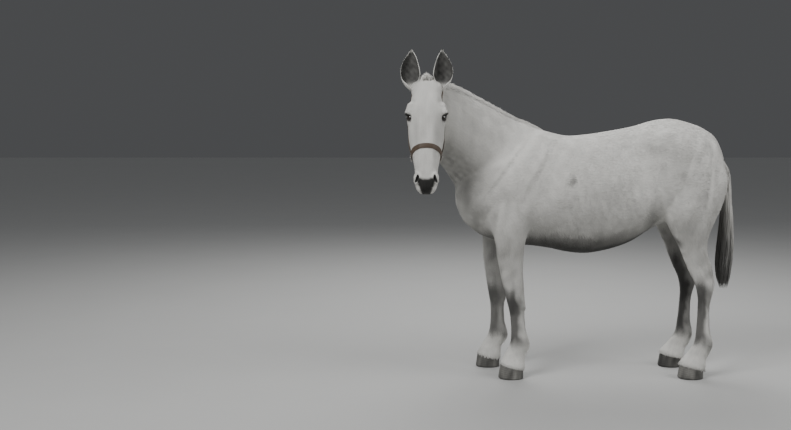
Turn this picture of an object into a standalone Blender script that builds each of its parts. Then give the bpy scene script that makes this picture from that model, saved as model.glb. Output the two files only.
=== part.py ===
"""A grey mule, life size, standing square with its neck bent to its left, in a leather head collar.

Lengths are in metres. While the pieces are made, x runs from the breast (0) back to the buttocks,
-y is the mule's left side and z is up from the floor. The last step moves everything so that the
origin lies on the floor under the middle of the whole model.
"""

import math
from collections import namedtuple

import bmesh
import bpy
import numpy as np
from mathutils import Euler, Matrix, Vector
from mathutils.bvhtree import BVHTree

# Clearance between pieces that touch.
GAP = 0.0003

# Head.
HEAD_TILT = math.radians(15)  # nose ahead of the vertical
HEAD_TURN = math.radians(88)  # from straight ahead to the mule's left
POLL = Vector((-0.196, -0.430, 1.848))
EAR_LENGTH = 0.248
EAR_WIDTH = 0.104
EAR_WALL = 0.006
EYE_RADIUS = 0.0235
EYE_PLACE = (0.228, 0.089, -0.058)  # down the face, to the side, out of the face
EYE_OUTWARD = math.radians(58)  # from straight ahead to the side
EYE_SLIT = (0.0205, 0.0130)  # half length and half height of the opening

# Legs: the mule's right fore and hind feet stand a little ahead of the left ones.
FORE_STAGGER = 0.122
HIND_STAGGER = 0.047
FORE_PIVOT = 1.10
HIND_PIVOT = 0.95
TOE_HEIGHT = 0.094
HEEL_HEIGHT = 0.050

# Hair, in locks.
MANE_SPAN = (0.16, 0.87)  # along the crest, from the shoulders to the poll
MANE_HEIGHT = 0.026
MANE_LOCKS = 25
FORELOCK_LOCKS = 3
TAIL_ROWS = 4
TAIL_LOCKS = 5

# Head collar.
STRAP_WIDTH = 0.028
STRAP_THICKNESS = 0.0035
STRAP_GAP = 0.0005
RING_RADIUS = 0.017
RING_WIRE = 0.0032

# Facet sizes and counts.
BODY_VOXEL = 0.010
HEAD_VOXEL = 0.005
BODY_TRIANGLES = 4100
HEAD_TRIANGLES = 1800

TorsoRow = namedtuple("TorsoRow", "x top widest floor half roundness")
LegRow = namedtuple("LegRow", "z front back aside half")
NeckRow = namedtuple("NeckRow", "crest_x crest_y crest_z under_x under_y under_z half")
HeadRow = namedtuple("HeadRow", "down front back half widest")
Mass = namedtuple("Mass", "x y z rx ry rz pitch")
Relief = namedtuple("Relief", "x z rx rz pitch height")

# Torso, from breast to buttocks: back line, height of the widest point, belly line, half width.
TORSO = [
    TorsoRow(0.000, 1.205, 1.125, 1.078, 0.070, 1.00),
    TorsoRow(0.032, 1.255, 1.120, 0.998, 0.122, 1.00),
    TorsoRow(0.080, 1.310, 1.115, 0.940, 0.164, 1.00),
    TorsoRow(0.155, 1.375, 1.120, 0.882, 0.198, 1.00),
    TorsoRow(0.270, 1.445, 1.130, 0.842, 0.216, 1.00),
    TorsoRow(0.400, 1.500, 1.140, 0.820, 0.228, 1.08),
    TorsoRow(0.500, 1.546, 1.140, 0.810, 0.238, 1.15),
    TorsoRow(0.590, 1.527, 1.140, 0.797, 0.250, 1.12),
    TorsoRow(0.680, 1.506, 1.130, 0.778, 0.265, 1.00),
    TorsoRow(0.800, 1.512, 1.125, 0.766, 0.282, 0.94),
    TorsoRow(0.950, 1.534, 1.130, 0.788, 0.288, 0.94),
    TorsoRow(1.100, 1.563, 1.150, 0.842, 0.279, 0.98),
    TorsoRow(1.230, 1.601, 1.190, 0.925, 0.264, 1.04),
    TorsoRow(1.330, 1.611, 1.220, 0.965, 0.253, 1.06),
    TorsoRow(1.440, 1.588, 1.240, 0.980, 0.239, 1.04),
    TorsoRow(1.540, 1.548, 1.240, 1.000, 0.208, 1.00),
    TorsoRow(1.615, 1.488, 1.235, 1.050, 0.162, 1.00),
    TorsoRow(1.660, 1.400, 1.240, 1.120, 0.090, 1.00),
]

# Legs, from the body down to inside the hoof: front and back line, distance from the middle plane.
FORE_LEG = [
    LegRow(1.150, 0.150, 0.470, 0.145, 0.060),
    LegRow(1.050, 0.150, 0.470, 0.156, 0.078),
    LegRow(0.960, 0.192, 0.452, 0.162, 0.082),
    LegRow(0.880, 0.226, 0.430, 0.160, 0.074),
    LegRow(0.770, 0.245, 0.415, 0.153, 0.061),
    LegRow(0.670, 0.266, 0.412, 0.149, 0.052),
    LegRow(0.580, 0.288, 0.419, 0.148, 0.048),
    LegRow(0.520, 0.303, 0.423, 0.148, 0.050),
    LegRow(0.480, 0.314, 0.427, 0.148, 0.052),
    LegRow(0.440, 0.325, 0.427, 0.148, 0.050),
    LegRow(0.400, 0.333, 0.425, 0.148, 0.041),
    LegRow(0.350, 0.339, 0.430, 0.148, 0.036),
    LegRow(0.300, 0.342, 0.438, 0.148, 0.036),
    LegRow(0.260, 0.342, 0.450, 0.148, 0.040),
    LegRow(0.225, 0.338, 0.461, 0.148, 0.046),
    LegRow(0.185, 0.322, 0.457, 0.148, 0.044),
    LegRow(0.150, 0.303, 0.438, 0.148, 0.040),
    LegRow(0.118, 0.287, 0.430, 0.148, 0.047),
    LegRow(0.090, 0.276, 0.432, 0.148, 0.056),
    LegRow(0.030, 0.270, 0.428, 0.148, 0.056),
]
HIND_LEG = [
    LegRow(1.340, 1.260, 1.640, 0.118, 0.075),
    LegRow(1.240, 1.232, 1.660, 0.134, 0.104),
    LegRow(1.130, 1.238, 1.640, 0.150, 0.110),
    LegRow(1.040, 1.262, 1.608, 0.156, 0.102),
    LegRow(0.975, 1.285, 1.579, 0.155, 0.092),
    LegRow(0.900, 1.320, 1.552, 0.151, 0.078),
    LegRow(0.820, 1.366, 1.545, 0.145, 0.062),
    LegRow(0.760, 1.393, 1.556, 0.142, 0.052),
    LegRow(0.700, 1.420, 1.578, 0.140, 0.046),
    LegRow(0.650, 1.445, 1.588, 0.138, 0.044),
    LegRow(0.600, 1.472, 1.597, 0.137, 0.046),
    LegRow(0.550, 1.489, 1.592, 0.137, 0.048),
    LegRow(0.500, 1.498, 1.580, 0.138, 0.044),
    LegRow(0.440, 1.498, 1.572, 0.139, 0.037),
    LegRow(0.360, 1.496, 1.574, 0.140, 0.035),
    LegRow(0.300, 1.492, 1.580, 0.141, 0.036),
    LegRow(0.260, 1.490, 1.589, 0.142, 0.040),
    LegRow(0.225, 1.483, 1.595, 0.143, 0.045),
    LegRow(0.185, 1.460, 1.590, 0.144, 0.043),
    LegRow(0.150, 1.433, 1.576, 0.145, 0.039),
    LegRow(0.118, 1.405, 1.562, 0.146, 0.046),
    LegRow(0.090, 1.388, 1.560, 0.147, 0.055),
    LegRow(0.030, 1.380, 1.554, 0.147, 0.055),
]

# Neck: from the shoulders to the poll, its crest and its under line, with half its thickness.
NECK = [
    NeckRow(0.660, 0.000, 1.430, 0.130, 0.000, 0.930, 0.150),
    NeckRow(0.540, 0.000, 1.532, 0.035, 0.000, 1.100, 0.150),
    NeckRow(0.445, -0.004, 1.582, 0.002, -0.010, 1.172, 0.142),
    NeckRow(0.362, -0.028, 1.610, -0.030, -0.038, 1.224, 0.130),
    NeckRow(0.270, -0.070, 1.656, -0.066, -0.072, 1.278, 0.118),
    NeckRow(0.116, -0.150, 1.733, -0.118, -0.115, 1.352, 0.102),
    NeckRow(0.020, -0.215, 1.780, -0.152, -0.155, 1.430, 0.092),
    NeckRow(-0.075, -0.280, 1.812, -0.182, -0.190, 1.510, 0.078),
    NeckRow(-0.152, -0.300, 1.808, -0.196, -0.225, 1.570, 0.054),
]

# Head, from above the poll down to the lips: face line and jaw line, measured out of the face plane.
HEAD = [
    HeadRow(-0.022, -0.070, -0.150, 0.040, -0.110),
    HeadRow(0.000, -0.040, -0.185, 0.066, -0.110),
    HeadRow(0.040, -0.014, -0.220, 0.080, -0.100),
    HeadRow(0.095, 0.005, -0.244, 0.087, -0.085),
    HeadRow(0.135, 0.013, -0.260, 0.096, -0.072),
    HeadRow(0.170, 0.018, -0.272, 0.107, -0.064),
    HeadRow(0.205, 0.019, -0.283, 0.115, -0.064),
    HeadRow(0.245, 0.018, -0.287, 0.108, -0.082),
    HeadRow(0.300, 0.013, -0.278, 0.104, -0.100),
    HeadRow(0.375, 0.006, -0.240, 0.096, -0.090),
    HeadRow(0.450, 0.003, -0.198, 0.083, -0.080),
    HeadRow(0.520, 0.001, -0.165, 0.070, -0.075),
    HeadRow(0.575, -0.003, -0.148, 0.064, -0.075),
    HeadRow(0.618, -0.010, -0.142, 0.063, -0.072),
    HeadRow(0.647, -0.026, -0.134, 0.053, -0.078),
    HeadRow(0.667, -0.055, -0.115, 0.034, -0.085),
]

# Masses that stand out of the sections, on both sides of the body (y is how far from the middle).
BODY_MASSES = [
    Mass(0.135, 0.080, 1.040, 0.085, 0.078, 0.110, 0),  # breast
    Mass(0.175, 0.150, 1.090, 0.080, 0.068, 0.085, 0),  # point of the shoulder
    Mass(0.400, 0.155, 1.060, 0.105, 0.075, 0.120, 20),  # triceps
    Mass(1.350, 0.130, 1.400, 0.220, 0.115, 0.150, 8),  # croup
    Mass(1.450, 0.145, 1.210, 0.165, 0.106, 0.260, 0),  # thigh
    Mass(1.575, 0.088, 1.200, 0.070, 0.070, 0.200, 0),  # buttock
]

# Gentle swells and hollows of the flanks: where, how far they reach, and how high.
BODY_RELIEFS = [
    Relief(0.385, 1.270, 0.090, 0.250, 36, 0.018),  # shoulder blade
    Relief(0.560, 1.200, 0.055, 0.200, 20, -0.009),  # hollow behind it
    Relief(0.175, 1.090, 0.065, 0.070, 0, 0.010),  # point of the shoulder
    Relief(0.410, 1.050, 0.095, 0.080, 0, 0.014),  # triceps
    Relief(0.300, 0.880, 0.060, 0.080, 0, 0.010),  # forearm
    Relief(1.165, 1.455, 0.055, 0.045, 0, 0.022),  # point of the hip
    Relief(1.115, 1.260, 0.065, 0.110, 0, -0.016),  # hollow of the flank
    Relief(1.270, 1.300, 0.060, 0.120, 20, -0.008),  # front of the thigh
    Relief(1.310, 1.020, 0.060, 0.080, 0, 0.012),  # stifle
    Relief(1.480, 0.900, 0.060, 0.080, 25, 0.008),  # gaskin
]

# The same on the head: down the face, aside, out of the face.
HEAD_MASSES = [
    Mass(0.184, 0.089, -0.055, 0.058, 0.036, 0.040, 10),  # brow over the eye
    Mass(0.246, 0.084, -0.072, 0.046, 0.030, 0.042, 0),  # lower rim of the socket
    Mass(0.340, 0.078, -0.084, 0.110, 0.018, 0.018, 0),  # cheek bone
    Mass(0.255, 0.062, -0.200, 0.100, 0.034, 0.078, 20),  # jaw muscle
    Mass(0.045, 0.066, -0.090, 0.045, 0.030, 0.042, 0),  # root of the ear
    Mass(0.584, 0.044, -0.042, 0.045, 0.030, 0.036, 0),  # nostril
    Mass(0.632, 0.018, -0.062, 0.034, 0.040, 0.036, 0),  # upper lip
    Mass(0.624, 0.016, -0.118, 0.034, 0.032, 0.026, 0),  # lower lip
    Mass(0.582, 0.008, -0.138, 0.032, 0.028, 0.022, 0),  # chin
]


# Scene and materials


def start_scene():
    """Empties the scene and makes the collections for the model and for its cutters."""
    for old in list(bpy.data.objects):
        bpy.data.objects.remove(old, do_unlink=True)
    made = []
    for name in ("mule", "cutters"):
        collection = bpy.data.collections.new(name)
        bpy.context.scene.collection.children.link(collection)
        made.append(collection)
    made[1].hide_render = True
    return made


def finish(name, colour, roughness, metallic=0.0):
    """A Principled material."""
    material = bpy.data.materials.new(name)
    material.use_nodes = True
    shader = material.node_tree.nodes["Principled BSDF"]
    shader.inputs["Base Color"].default_value = (*colour, 1.0)
    shader.inputs["Roughness"].default_value = roughness
    shader.inputs["Metallic"].default_value = metallic
    return material


# Mesh tools


def mesh_object(name, bm, collection):
    """A new object from a bmesh, its faces pointing out."""
    bmesh.ops.recalc_face_normals(bm, faces=bm.faces)
    mesh = bpy.data.meshes.new(name)
    bm.to_mesh(mesh)
    bm.free()
    made = bpy.data.objects.new(name, mesh)
    collection.objects.link(made)
    return made


def smooth_rows(rows, count):
    """Evenly spaced rows on a smooth curve through the given ones; the first column is the place."""
    table = np.array(rows, float)
    if table[0, 0] > table[-1, 0]:
        table = table[::-1]
    place = table[:, 0]
    slope = np.gradient(table, place, axis=0)
    at = np.linspace(place[0], place[-1], count)
    left = np.clip(np.searchsorted(place, at, side="right") - 1, 0, len(place) - 2)
    span = (place[left + 1] - place[left])[:, None]
    t = (at - place[left])[:, None] / span
    before, after = table[left], table[left + 1]
    return (
        (2 * t**3 - 3 * t**2 + 1) * before
        + (t**3 - 2 * t**2 + t) * span * slope[left]
        + (3 * t**2 - 2 * t**3) * after
        + (t**3 - t**2) * span * slope[left + 1]
    )


def section(centre, side, up, half, rise, drop, around, roundness=1.0):
    """A closed egg-shaped ring: half wide along side, rise high and drop deep along up."""
    angle = np.linspace(0, 2 * math.pi, around, endpoint=False)
    across = np.sign(np.sin(angle)) * np.abs(np.sin(angle)) ** roundness
    height = np.where(np.cos(angle) > 0, rise, drop) * np.cos(angle)
    return np.array(centre) + np.outer(half * across, side) + np.outer(height, up)


def loft(name, rings, collection):
    """A closed body through rings of equally many points, with flat ends."""
    bm = bmesh.new()
    corners = [[bm.verts.new(point) for point in ring] for ring in rings]
    around = len(rings[0])
    for lower, upper in zip(corners, corners[1:]):
        for i in range(around):
            j = (i + 1) % around
            bm.faces.new((lower[i], lower[j], upper[j], upper[i]))
    bm.faces.new(corners[0][::-1])
    bm.faces.new(corners[-1])
    return mesh_object(name, bm, collection)


def ball(name, centre, radii, turn, collection, segments=24, rings=14):
    """An ellipsoid of the given radii, turned by a rotation matrix."""
    bm = bmesh.new()
    bmesh.ops.create_uvsphere(bm, u_segments=segments, v_segments=rings, radius=1.0)
    bmesh.ops.scale(bm, vec=radii, verts=bm.verts)
    bmesh.ops.rotate(bm, cent=(0, 0, 0), matrix=turn, verts=bm.verts)
    bmesh.ops.translate(bm, vec=centre, verts=bm.verts)
    return mesh_object(name, bm, collection)


def block(name, centre, size, turn, collection, grow=0.0):
    """A box from its middle, size and turn, for dividing the body."""
    bm = bmesh.new()
    bmesh.ops.create_cube(bm, size=1.0)
    bmesh.ops.scale(bm, vec=[length + 2 * grow for length in size], verts=bm.verts)
    bmesh.ops.rotate(bm, cent=(0, 0, 0), matrix=turn, verts=bm.verts)
    bmesh.ops.translate(bm, vec=centre, verts=bm.verts)
    return mesh_object(name, bm, collection)


def evaluated(obj):
    """Bakes an object's modifiers into its mesh."""
    graph = bpy.context.evaluated_depsgraph_get()
    baked = bpy.data.meshes.new_from_object(obj.evaluated_get(graph), depsgraph=graph)
    obj.modifiers.clear()
    obj.data = baked
    return obj


def joined(name, pieces, collection):
    """Pieces as one object of several shells; the pieces are removed."""
    bm = bmesh.new()
    for piece in pieces:
        bm.from_mesh(piece.data)
        bpy.data.objects.remove(piece)
    return mesh_object(name, bm, collection)


def melted(obj, voxel):
    """Turns overlapping shells into one surface of small even squares."""
    remesh = obj.modifiers.new("skin", "REMESH")
    remesh.mode = "VOXEL"
    remesh.voxel_size = voxel
    remesh.adaptivity = 0.0
    return evaluated(obj)


def rounded(obj, rounds, weight):
    """Eases the creases between masses; weight(point) says how much, from 0 to 1."""
    group = obj.vertex_groups.new(name="soft")
    for vert in obj.data.vertices:
        group.add([vert.index], weight(vert.co), "REPLACE")
    smooth = obj.modifiers.new("round", "SMOOTH")
    smooth.factor = 0.5
    smooth.iterations = rounds
    smooth.vertex_group = group.name
    evaluated(obj)
    obj.vertex_groups.clear()
    return obj


def reduced(obj, triangles):
    """The same surface with about this many triangles."""
    obj.data.calc_loop_triangles()
    decimate = obj.modifiers.new("facets", "DECIMATE")
    decimate.ratio = triangles / len(obj.data.loop_triangles)
    return evaluated(obj)


def largest_body(obj):
    """Closes edges where the surface touches itself and keeps only the largest closed surface."""
    bm = bmesh.new()
    bm.from_mesh(obj.data)
    bmesh.ops.triangulate(bm, faces=bm.faces)
    for _ in range(6):
        touching = [edge for edge in bm.edges if len(edge.link_faces) > 2]
        bmesh.ops.collapse(bm, edges=touching)
    seen = set()
    bodies = []
    for start in bm.faces:
        if start in seen:
            continue
        body = [start]
        seen.add(start)
        for face in body:
            for edge in face.edges:
                for other in edge.link_faces:
                    if other not in seen:
                        seen.add(other)
                        body.append(other)
        bodies.append(body)
    keep = set(max(bodies, key=lambda body: sum(face.calc_area() for face in body)))
    bmesh.ops.delete(bm, geom=[face for face in bm.faces if face not in keep], context="FACES")
    loose = [vert for vert in bm.verts if not vert.link_faces]
    bmesh.ops.delete(bm, geom=loose, context="VERTS")
    bm.to_mesh(obj.data)
    bm.free()
    return obj


def combined(obj, others, operation, solver="EXACT"):
    """One Boolean of obj with a collection of closed pieces, applied; the pieces are then removed."""
    group = bpy.data.collections.new("operands")
    for other in others:
        group.objects.link(other)
    boolean = obj.modifiers.new("combine", "BOOLEAN")
    boolean.operand_type = "COLLECTION"
    boolean.collection = group
    boolean.operation = operation
    boolean.solver = solver
    evaluated(obj)
    bpy.data.collections.remove(group)
    for other in others:
        bpy.data.objects.remove(other)
    return largest_body(obj)


def copy_of(obj, name, collection):
    """A copy with a mesh of its own."""
    made = bpy.data.objects.new(name, obj.data.copy())
    collection.objects.link(made)
    return made


def swollen(obj, amount, collection):
    """A copy grown by amount along its normals, to cut a neighbour clear of it."""
    made = copy_of(obj, obj.name + "_swollen", collection)
    bm = bmesh.new()
    bm.from_mesh(made.data)
    bm.normal_update()
    for vert in bm.verts:
        vert.co += vert.normal * amount * vert.calc_shell_factor()
    bm.to_mesh(made.data)
    bm.free()
    return made


def triangulated(obj):
    """Splits every face into triangles."""
    bm = bmesh.new()
    bm.from_mesh(obj.data)
    bmesh.ops.triangulate(bm, faces=bm.faces)
    bm.to_mesh(obj.data)
    bm.free()
    return obj


def surface_tree(obj):
    """A tree for finding points on an object's surface."""
    bm = bmesh.new()
    bm.from_mesh(obj.data)
    tree = BVHTree.FromBMesh(bm)
    bm.free()
    return tree


def eased(low, high, value):
    """0 below low, 1 above high, and a smooth rise between them."""
    t = min(max((value - low) / (high - low), 0.0), 1.0)
    return t * t * (3 - 2 * t)


# Placing on the head


def head_axes():
    """Unit vectors down the face, to the mule's left, and out of the face."""
    ahead = Vector((-math.cos(HEAD_TURN), -math.sin(HEAD_TURN), 0))
    left = Vector((0, 0, 1)).cross(ahead)
    down = ahead * math.sin(HEAD_TILT) - Vector((0, 0, 1)) * math.cos(HEAD_TILT)
    out = left.cross(down)
    if out.dot(ahead) < 0:
        out = -out
    return down, left, out


DOWN_FACE, LEFT, OUT_OF_FACE = head_axes()
HEAD_FRAME = Matrix((DOWN_FACE, LEFT, OUT_OF_FACE)).transposed()


def on_head(down, aside, out):
    """A point given down the face from the poll, to the mule's left, and out of the face."""
    return POLL + DOWN_FACE * down + LEFT * aside + OUT_OF_FACE * out


# Body


def torso_rings(around=40, count=60):
    rings = []
    for x, top, widest, floor, half, roundness in smooth_rows(TORSO, count):
        rise, drop = top - widest, widest - floor
        rings.append(section((x, 0, widest), (0, 1, 0), (0, 0, 1), half, rise, drop, around, roundness))
    return rings


def neck_stations(count=40):
    """Crest, under line, side direction and half thickness at even steps from shoulders to poll."""
    rows = smooth_rows([(i, *row) for i, row in enumerate(NECK)], count)
    crest, under, half = rows[:, 1:4], rows[:, 4:7], rows[:, 7]
    along = np.gradient((crest + under) / 2, axis=0)
    side = np.cross(crest - under, along)
    side = side / np.linalg.norm(side, axis=1)[:, None]
    return crest, under, side, half


def neck_rings(around=36, count=40):
    rings = []
    for crest, under, side, half in zip(*neck_stations(count)):
        depth = np.linalg.norm(crest - under)
        up = (crest - under) / depth
        centre = under + (crest - under) * 0.44
        rings.append(section(centre, side, up, half, depth * 0.56, depth * 0.44, around, 1.15))
    return rings


def lean_at(z, stagger, pivot):
    """How far a staggered leg stands ahead at a height."""
    return stagger * max(0.0, 1 - z / pivot) ** 0.6


def leg_rings(rows, side, stagger, pivot, around=28, count=90):
    """Level sections of one leg; side is -1 for the mule's left."""
    rings = []
    for z, front, back, aside, half in smooth_rows(rows, count):
        centre = ((front + back) / 2 - lean_at(z, stagger, pivot), side * aside, z)
        reach = (back - front) / 2
        rings.append(section(centre, (0, 1, 0), (1, 0, 0), half, reach, reach, around, 0.92))
    return rings


def body_masses(collection):
    """The larger muscles of both sides of the body."""
    made = []
    for mass in BODY_MASSES:
        turn = Euler((0, math.radians(mass.pitch), 0)).to_matrix()
        for side in (-1, 1):
            centre = (mass.x, side * mass.y, mass.z)
            made.append(ball("mass", centre, (mass.rx, mass.ry, mass.rz), turn, collection))
    return made


def relief_height(x, z):
    """Sum of the flank's swells and hollows at a point in profile."""
    total = 0.0
    for relief in BODY_RELIEFS:
        turn = math.radians(relief.pitch)
        dx, dz = x - relief.x, z - relief.z
        u = (dx * math.cos(turn) - dz * math.sin(turn)) / relief.rx
        v = (dx * math.sin(turn) + dz * math.cos(turn)) / relief.rz
        total += relief.height * math.exp(-(u * u) - v * v)
    return total


def relieved(obj):
    """Moves the flanks out and in by the relief, fading toward the middle plane."""
    bm = bmesh.new()
    bm.from_mesh(obj.data)
    bm.normal_update()
    moves = []
    for vert in bm.verts:
        facing = abs(vert.normal.y) * eased(0.03, 0.12, abs(vert.co.y)) * eased(0.0, 0.12, vert.co.x)
        moves.append(vert.normal * relief_height(vert.co.x, vert.co.z) * facing)
    for vert, move in zip(bm.verts, moves):
        vert.co += move
    bm.to_mesh(obj.data)
    bm.free()
    return obj


def leg_settings():
    """Name, rows, side, stagger and pivot of each leg."""
    return [
        ("fore_left", FORE_LEG, -1, 0.0, FORE_PIVOT),
        ("fore_right", FORE_LEG, 1, FORE_STAGGER, FORE_PIVOT),
        ("hind_left", HIND_LEG, -1, 0.0, HIND_PIVOT),
        ("hind_right", HIND_LEG, 1, HIND_STAGGER, HIND_PIVOT),
    ]


def body_surface(collection):
    """Torso, neck and legs melted into one surface."""
    pieces = [loft("torso_loft", torso_rings(), collection), loft("neck_loft", neck_rings(), collection)]
    for name, rows, side, stagger, pivot in leg_settings():
        pieces.append(loft(name, leg_rings(rows, side, stagger, pivot), collection))
    pieces += body_masses(collection)
    body = melted(joined("body", pieces, collection), BODY_VOXEL)
    rounded(body, 36, lambda point: eased(0.72, 0.92, point.z))
    relieved(body)
    rounded(body, 4, lambda point: 1.0)
    return reduced(body, BODY_TRIANGLES)


# Head


def head_rings(around=36, count=56):
    rings = []
    for down, front, back, half, widest in smooth_rows(HEAD, count):
        centre = on_head(down, 0, widest)
        rings.append(section(centre, LEFT, OUT_OF_FACE, half, front - widest, widest - back, around, 0.86))
    return rings


def head_masses(collection):
    made = []
    for mass in HEAD_MASSES:
        turn = HEAD_FRAME @ Euler((0, math.radians(-mass.pitch), 0)).to_matrix()
        for side in (-1, 1):
            centre = on_head(mass.x, side * mass.y, mass.z)
            made.append(ball("mass", centre, (mass.rx, mass.ry, mass.rz), turn, collection))
    return made


def head_surface(collection):
    pieces = [loft("head_loft", head_rings(), collection)] + head_masses(collection)
    head = melted(joined("skull", pieces, collection), HEAD_VOXEL)
    rounded(head, 16, lambda point: 1.0)
    return reduced(head, HEAD_TRIANGLES)


def eye_axes(side):
    """Unit vectors of one eye: along the slit, up the slit and out of the eye."""
    out = OUT_OF_FACE * math.cos(EYE_OUTWARD) + LEFT * side * math.sin(EYE_OUTWARD)
    back = LEFT * side - out * (LEFT * side).dot(out)
    along = (back.normalized() * 0.9 - DOWN_FACE * 0.45).normalized()
    return along, out.cross(along).normalized(), out


def eye_centre(side):
    down, aside, out = EYE_PLACE
    return on_head(down, side * aside, out)


def tube(name, points, radius, cyclic, collection, resolution=2):
    """A round tube along points, as a mesh."""
    curve = bpy.data.curves.new(name, "CURVE")
    curve.dimensions = "3D"
    curve.bevel_depth = radius
    curve.bevel_resolution = resolution
    curve.use_fill_caps = not cyclic
    spline = curve.splines.new("POLY")
    spline.points.add(len(points) - 1)
    for slot, point in zip(spline.points, points):
        slot.co = (*point, 1.0)
    spline.use_cyclic_u = cyclic
    drawn = bpy.data.objects.new(name, curve)
    collection.objects.link(drawn)
    graph = bpy.context.evaluated_depsgraph_get()
    bm = bmesh.new()
    bm.from_mesh(bpy.data.meshes.new_from_object(drawn.evaluated_get(graph)))
    bmesh.ops.remove_doubles(bm, verts=bm.verts, dist=0.00001)
    bpy.data.objects.remove(drawn)
    return mesh_object(name, bm, collection)


def lid_rim(side, collection):
    """A fleshy rim round the eye's opening."""
    along, up, out = eye_axes(side)
    reach = EYE_RADIUS + 0.002
    points = []
    for angle in np.linspace(0, 2 * math.pi, 13, endpoint=False):
        x = 1.12 * EYE_SLIT[0] * math.cos(angle)
        y = 1.22 * EYE_SLIT[1] * math.sin(angle)
        height = math.sqrt(max(reach**2 - x * x - y * y, 0.0))
        points.append(eye_centre(side) + along * x + up * y + out * height)
    return tube("lid", points, 0.0048, True, collection, 1)


def eye_cutters(side, collection):
    """The ball's socket, and the slit between the lids."""
    along, up, out = eye_axes(side)
    socket_radius = EYE_RADIUS + GAP
    socket = ball("socket", eye_centre(side), (socket_radius,) * 3, Matrix.Identity(3), collection, 14, 8)
    turn = Matrix((along, up, out)).transposed()
    slit = ball("slit", eye_centre(side) + out * EYE_RADIUS, (*EYE_SLIT, 0.02), turn, collection, 16, 8)
    return [socket, slit]


def nostril_cutter(side, collection):
    """The slanting nostril."""
    turn = HEAD_FRAME @ Euler((math.radians(side * 35), math.radians(-20), math.radians(-side * 14))).to_matrix()
    centre = on_head(0.590, side * 0.060, -0.022)
    return ball("nostril_hole", centre, (0.027, 0.020, 0.0115), turn, collection, 14, 8)


def mouth_cutter(tree, collection):
    """A groove for the line of the mouth, from corner to corner, laid on the surface."""
    points = []
    for share in np.linspace(-1, 1, 14):
        spread = math.sin(share * math.pi / 2)
        down = 0.70 - 0.125 * abs(share) ** 1.7
        start = on_head(down, 0.2 * spread, -0.094)
        target = on_head(min(down, 0.64), 0.0, -0.094)
        hit = tree.ray_cast(start, (target - start).normalized())[0]
        if hit is not None:
            points.append(hit)
    return tube("mouth_line", points, 0.0026, False, collection, 1)


def ear(side, name, collection):
    """A long leaf-shaped cup, open to the front and rolled into a tube at its root."""
    root = on_head(0.040, side * 0.073, -0.074)
    axis = (-DOWN_FACE + LEFT * side * 0.09 + OUT_OF_FACE * 0.02).normalized()
    front = OUT_OF_FACE + LEFT * side * 0.18
    front = (front - axis * front.dot(axis)).normalized()
    across = LEFT * side
    across = (across - axis * across.dot(axis) - front * across.dot(front)).normalized()
    rings = []
    for v in np.linspace(0, 1, 12):
        leaf = math.sin(math.pi * min(v / 0.96, 1.0) ** 0.9) ** 0.8
        width = EAR_WIDTH / 2 * (0.30 * (1 - v) ** 0.5 + 0.80 * leaf) + 0.006
        spread = math.radians(158 - 58 * eased(0.0, 0.4, v) - 30 * eased(0.6, 1.0, v))
        bow = 0.015 * math.sin(math.pi * v) - 0.004 * v**3
        middle = root + axis * EAR_LENGTH * (v - 0.08) + across * bow
        wall = EAR_WALL * (1 - 0.5 * v)
        ring = []
        for grow, way in ((0.0, 1), (-wall, -1)):
            for share in np.linspace(-way, way, 9):
                angle = spread * share
                depth = -math.cos(angle) * (width * 0.74 + grow)
                ring.append(middle + across * (width + grow) * math.sin(angle) + front * depth)
        rings.append(ring)
    return triangulated(loft(name, rings, collection))


# Tail and mane


TAIL = [
    (1.380, 1.610, 0.035, 0.035),
    (1.345, 1.655, 0.034, 0.034),
    (1.290, 1.683, 0.030, 0.036),
    (1.200, 1.695, 0.028, 0.036),
    (1.100, 1.700, 0.031, 0.038),
    (0.950, 1.705, 0.042, 0.046),
    (0.800, 1.702, 0.053, 0.052),
    (0.700, 1.696, 0.053, 0.050),
    (0.620, 1.698, 0.040, 0.038),
    (0.540, 1.704, 0.012, 0.012),
]


def lock(path, across, width, thickness, collection, bluntness=1.0):
    """A flat, tapered lock of hair along a path; across is the way of its width at each point."""
    rings = []
    last = len(path) - 1
    for i, (point, side) in enumerate(zip(path, across)):
        t = i / last
        heading = (path[min(i + 1, last)] - path[max(i - 1, 0)]).normalized()
        side = (side - heading * side.dot(heading)).normalized()
        flat = heading.cross(side)
        taper = (1 - t**bluntness) ** 0.6 * (0.75 + 0.35 * math.sin(math.pi * min(t + 0.2, 1)))
        w = side * max(width / 2 * taper, 0.0012)
        h = flat * max(thickness / 2 * taper, 0.0009)
        rings.append([point + w, point + h, point - w, point - h])
    return loft("lock", rings, collection)


def tail_at(z):
    """Middle, reach and half width of the tail's hair at a height."""
    rows = np.array(TAIL)[::-1]
    return [float(np.interp(z, rows[:, 0], rows[:, column])) for column in (1, 2, 3)]


def tail_point(z, angle, share):
    """A point of the tail at a height, round it from behind, at a share of the way out."""
    middle, reach, half = tail_at(z)
    return Vector((middle + reach * share * math.cos(angle), half * share * math.sin(angle), z))


def tail_lock(top, angle, length, rng, collection):
    """A lock that lies down the tail and leaves it at its tip."""
    drift = rng.uniform(-0.25, 0.25)
    path = []
    across = []
    for t in (0, 0.3, 0.7, 1):
        turned = angle + drift * t
        path.append(tail_point(top - length * t, turned, 0.62 + 0.42 * eased(0.0, 0.35, t)))
        across.append(Vector((-math.sin(turned), math.cos(turned), 0)))
    return lock(path, across, rng.uniform(0.050, 0.064), rng.uniform(0.016, 0.022), collection)


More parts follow.
